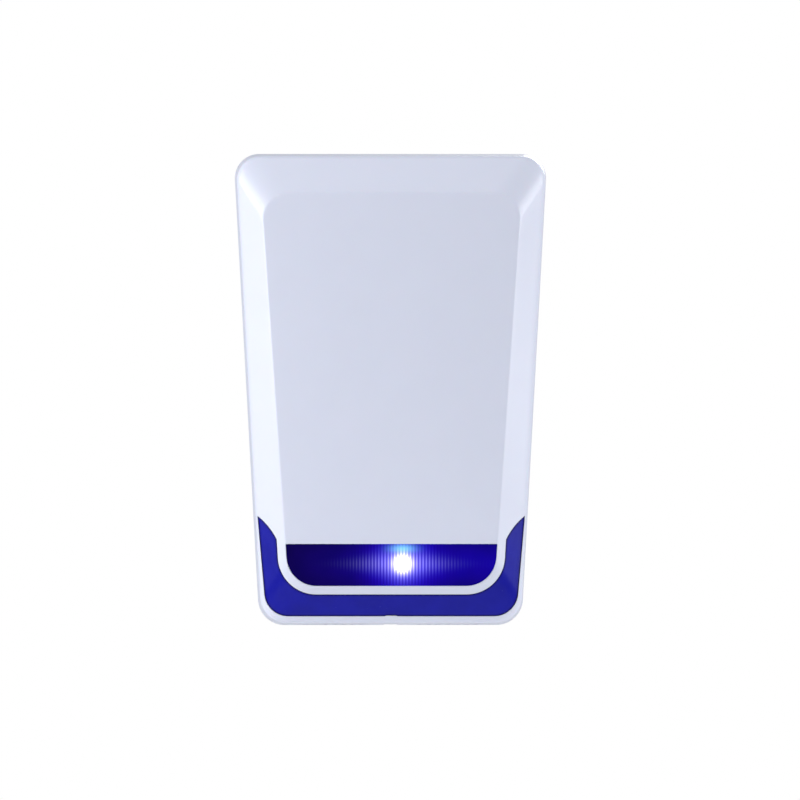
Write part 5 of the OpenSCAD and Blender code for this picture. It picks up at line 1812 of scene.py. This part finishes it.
@dataclass
class Strobe:
    """The strobe's six lamps. The lit one is the fourth."""

    base: float = 7.0
    dome: float = 2.5
    pitch: float = 16.0
    count: int = 6
    lit: int = 3

    def build(self) -> bpy.types.Object:
        """Makes the lamps: a white package with a round well, and a resin dome, in one row.

        Returns:
            The lamps.
        """
        low, high = corners("strobe_lamps")
        y, z = high[1], (low[2] + high[2]) / 2
        parts = []
        for i in range(self.count):
            x = (i - (self.count - 1) / 2) * self.pitch
            half = self.base / 2
            body = soft_box((x - half, y - 1.6, z - half), (x + half, y, z + half), 0.4)
            well = lathe([[0, 1.0], [2.8, 1.0], [3.0, 2.0], [0, 2.0]], (x, y, z), 32)
            parts.append((body.joined([(well, Join.CUT)]), WHITE_PLASTIC))
            profile = [[0, 0.9], [2.45, 0.9], [self.dome, 1.2], *arc((0, 3.2), self.dome, 0, 90, 12)]
            parts.append((lathe(profile, (x, y, z), 32), LAMP_LIT if i == self.lit else LAMP_CLEAR))
        return piece("strobe_lamp_row", parts, "base", ["strobe_lamps"], 45)


@dataclass
class SpiritLevel:
    """The vial of the spirit level, with its bubble and two marks."""

    marks: float = 4.5
    end_round: float = 1.2
    bubble_half: float = 4.2
    bubble: float = 1.5
    bubble_rise: float = 2.0

    def build(self) -> bpy.types.Object:
        """Makes the vial: a round-ended tube, a long bubble near its front and a thin ring at each mark.

        Returns:
            The vial.
        """
        low, high = corners("level_vial")
        half, r = (high[0] - low[0]) / 2, (high[2] - low[2]) / 2
        y, z = (low[1] + high[1]) / 2, (low[2] + high[2]) / 2
        e = self.end_round
        ends = [*arc((r - e, e - half), e, -90, 0, 5), *arc((r - e, half - e), e, 0, 90, 5)]
        tube_line = [[0, -half], *ends, [0, half]]
        t = np.linspace(-1, 1, 17)
        width = self.bubble * np.sqrt(np.clip(1 - t**2, 0, 1)) + 1e-4
        bubble_line = np.stack([width, self.bubble_half * t], -1)
        ring = [[r - 0.2, -0.25], [r, -0.25], [r, 0.25], [r - 0.2, 0.25], [r - 0.2, -0.25]]
        turned = [(tube_line, 0, y, VIAL_GREEN), (bubble_line, 0, y - self.bubble_rise, BUBBLE)]
        turned += [(ring, x, y, SWITCH_BLACK) for x in (-self.marks, self.marks)]
        made = [(lathe(line, ORIGIN, 36).swapped(1, 0, 2).at(x, depth, z), f) for line, x, depth, f in turned]
        return piece("level_vial_marked", made, "base", ["level_vial"], 45)


KEPT: dict[Finish, Sequence[str]] = {
    TRAY_PLASTIC: ("rear_tray", "level_holder"),
    SEAL_RUBBER: ("tray_seal", "cable_grommet"),
    STAINLESS: ("hinge_pin_left", "hinge_pin_right", "screw_washer"),
    BRASS: ("screw_insert", "piezo_disc"),
    HORN_PLASTIC: ("horn_plug", "horn_cap"),
    GALVANISED: ("inner_shield", "battery_strap"),
    TIN: ("battery_terminals",),
    BOARD_GREEN: ("circuit_board",),
    BOARD_WHITE: ("strobe_board",),
    CHROME: ("strobe_reflector",),
    TERMINAL_GREEN: ("terminal_block",),
    ZINC: ("terminal_screws",),
    STATUS_RED: ("status_lamp",),
    WHITE_PLASTIC: ("wire_sockets", "dip_slider_1", "dip_slider_2", "dip_slider_3", "dip_slider_4"),
    RED_PLASTIC: ("dip_switch", "cover_tamper_plunger", "wall_tamper_plunger"),
    SWITCH_BLACK: ("cover_tamper_switch", "wall_tamper_switch"),
}
KEPT_SHARP = 35.0


def dress(node: str, finish: Finish) -> None:
    """Gives a node that stays its finish and smooth rounds: its loose triangles are welded, and its sharp
    edges are split.

    Args:
        node: The node.
        finish: Its finish.
    """
    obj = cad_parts[node]
    if not obj.data.materials:
        obj.data.materials.append(material(finish))
    for slot in obj.material_slots:
        slot.material = material(finish)
    obj.data.polygons.foreach_set("use_smooth", np.ones(len(obj.data.polygons), bool))
    weld = obj.modifiers.new("weld", "WELD")
    weld.merge_threshold = DOUBLES / 2
    split = obj.modifiers.new("split", "EDGE_SPLIT")
    split.split_angle = math.radians(KEPT_SHARP)
    LOG.info("%s: %s", node, finish.name)


@dataclass
class Studio:
    """Camera, lights and floor."""

    lens: float = 400.0
    sensor: float = 36.0
    azimuth: float = -0.7
    half_view: float = 254.8
    target: tuple[float, float, float] = (6.06, -16.0, -6.7)
    floor_z: float = -320.0
    floor_radius: float = 500.0

    def camera(self) -> None:
        """Makes the camera level with the siren, far enough away to frame half_view each way."""
        data = bpy.data.cameras.new("camera")
        data.lens, data.sensor_width = self.lens, self.sensor
        camera = bpy.data.objects.new("camera", data)
        distance = self.half_view * 2 * self.lens / self.sensor * MM
        a = math.radians(self.azimuth)
        x, y, z = (v * MM for v in self.target)
        camera.location = (x + math.sin(a) * distance, y - math.cos(a) * distance, z)
        camera.rotation_euler = (math.pi / 2, 0, a)
        data.clip_end = 50
        bpy.context.scene.collection.objects.link(camera)
        bpy.context.scene.camera = camera

    def light(self, name: str, place: Sequence[float], size: float, power: float, tint: Colour) -> None:
        """Adds a square area light aimed at the siren.

        Args:
            name: Name of the light.
            place: Its place in metres.
            size: Its side in metres.
            power: Its power in watts.
            tint: Its colour.
        """
        data = bpy.data.lights.new(name, "AREA")
        data.size, data.energy, data.color = size, power, tint
        obj = bpy.data.objects.new(name, data)
        obj.location = place
        towards = -np.array(place)
        tilt = math.acos(-towards[2] / np.linalg.norm(towards))
        obj.rotation_euler = (tilt, 0, math.atan2(towards[1], towards[0]) - math.pi / 2)
        bpy.context.scene.collection.objects.link(obj)

    def world(self) -> None:
        """A soft grey-blue surround that looks white to the camera."""
        world = bpy.data.worlds.new("surround")
        world.use_nodes = True
        bpy.context.scene.world = world
        nodes, links = world.node_tree.nodes, world.node_tree.links
        soft = nodes["Background"]
        soft.inputs["Color"].default_value = (0.90, 0.94, 1.0, 1)
        soft.inputs["Strength"].default_value = 0.36
        white = nodes.new("ShaderNodeBackground")
        white.inputs["Color"].default_value = (1, 1, 1, 1)
        seen = nodes.new("ShaderNodeLightPath")
        mix = nodes.new("ShaderNodeMixShader")
        links.new(seen.outputs["Is Camera Ray"], mix.inputs[0])
        links.new(soft.outputs[0], mix.inputs[1])
        links.new(white.outputs[0], mix.inputs[2])
        links.new(mix.outputs[0], nodes["World Output"].inputs[0])

    def floor(self) -> None:
        """A pale round floor under the siren."""
        a, r = np.linspace(0, 2 * np.pi, 96, endpoint=False), self.floor_radius
        ring = np.stack([r * np.cos(a), r * np.sin(a), np.full(len(a), self.floor_z)], -1)
        mesh = bpy.data.meshes.new("floor")
        mesh.from_pydata(ring * MM, [], [list(range(len(a)))])
        mesh.materials.append(material(FLOOR_PAPER))
        floor = bpy.data.objects.new("floor", mesh)
        bpy.context.scene.collection.objects.link(floor)

    def build(self) -> None:
        """Makes the camera first, then the surround, the lights and the floor."""
        self.camera()
        self.world()
        self.light("key", (-1.0, -0.50, 0.24), 0.7, 9.6, (0.95, 0.97, 1.0))
        self.light("fill", (2.1, -0.70, 0.4), 1.2, 27, (0.95, 0.97, 1.0))
        self.light("top", (0.0, -0.4, 2.0), 1.2, 4, (0.93, 0.96, 1.0))
        self.light("back", (0.9, 2.0, 1.2), 1.4, 34, (1.0, 0.99, 0.97))
        self.floor()
        view = bpy.context.scene.view_settings
        view.view_transform, view.look = "Standard", "None"


def main() -> None:
    """Builds the studio, then the siren from its cover inwards, and dresses the nodes that stay."""
    logging.basicConfig(level=logging.INFO, format="%(name)s %(message)s")
    Studio().build()
    Cover().build()
    lenses = Lenses()
    lenses.side_lens()
    lenses.window()
    for group in (SoundMesh(), Fixings(), Horn(), Wiring(), Springs(), Electronics()):
        group.build()
    for group in (Battery(), Strobe(), SpiritLevel()):
        group.build()
    for finish, nodes in KEPT.items():
        for node in nodes:
            dress(node, finish)


if __name__ == "__main__":
    main()
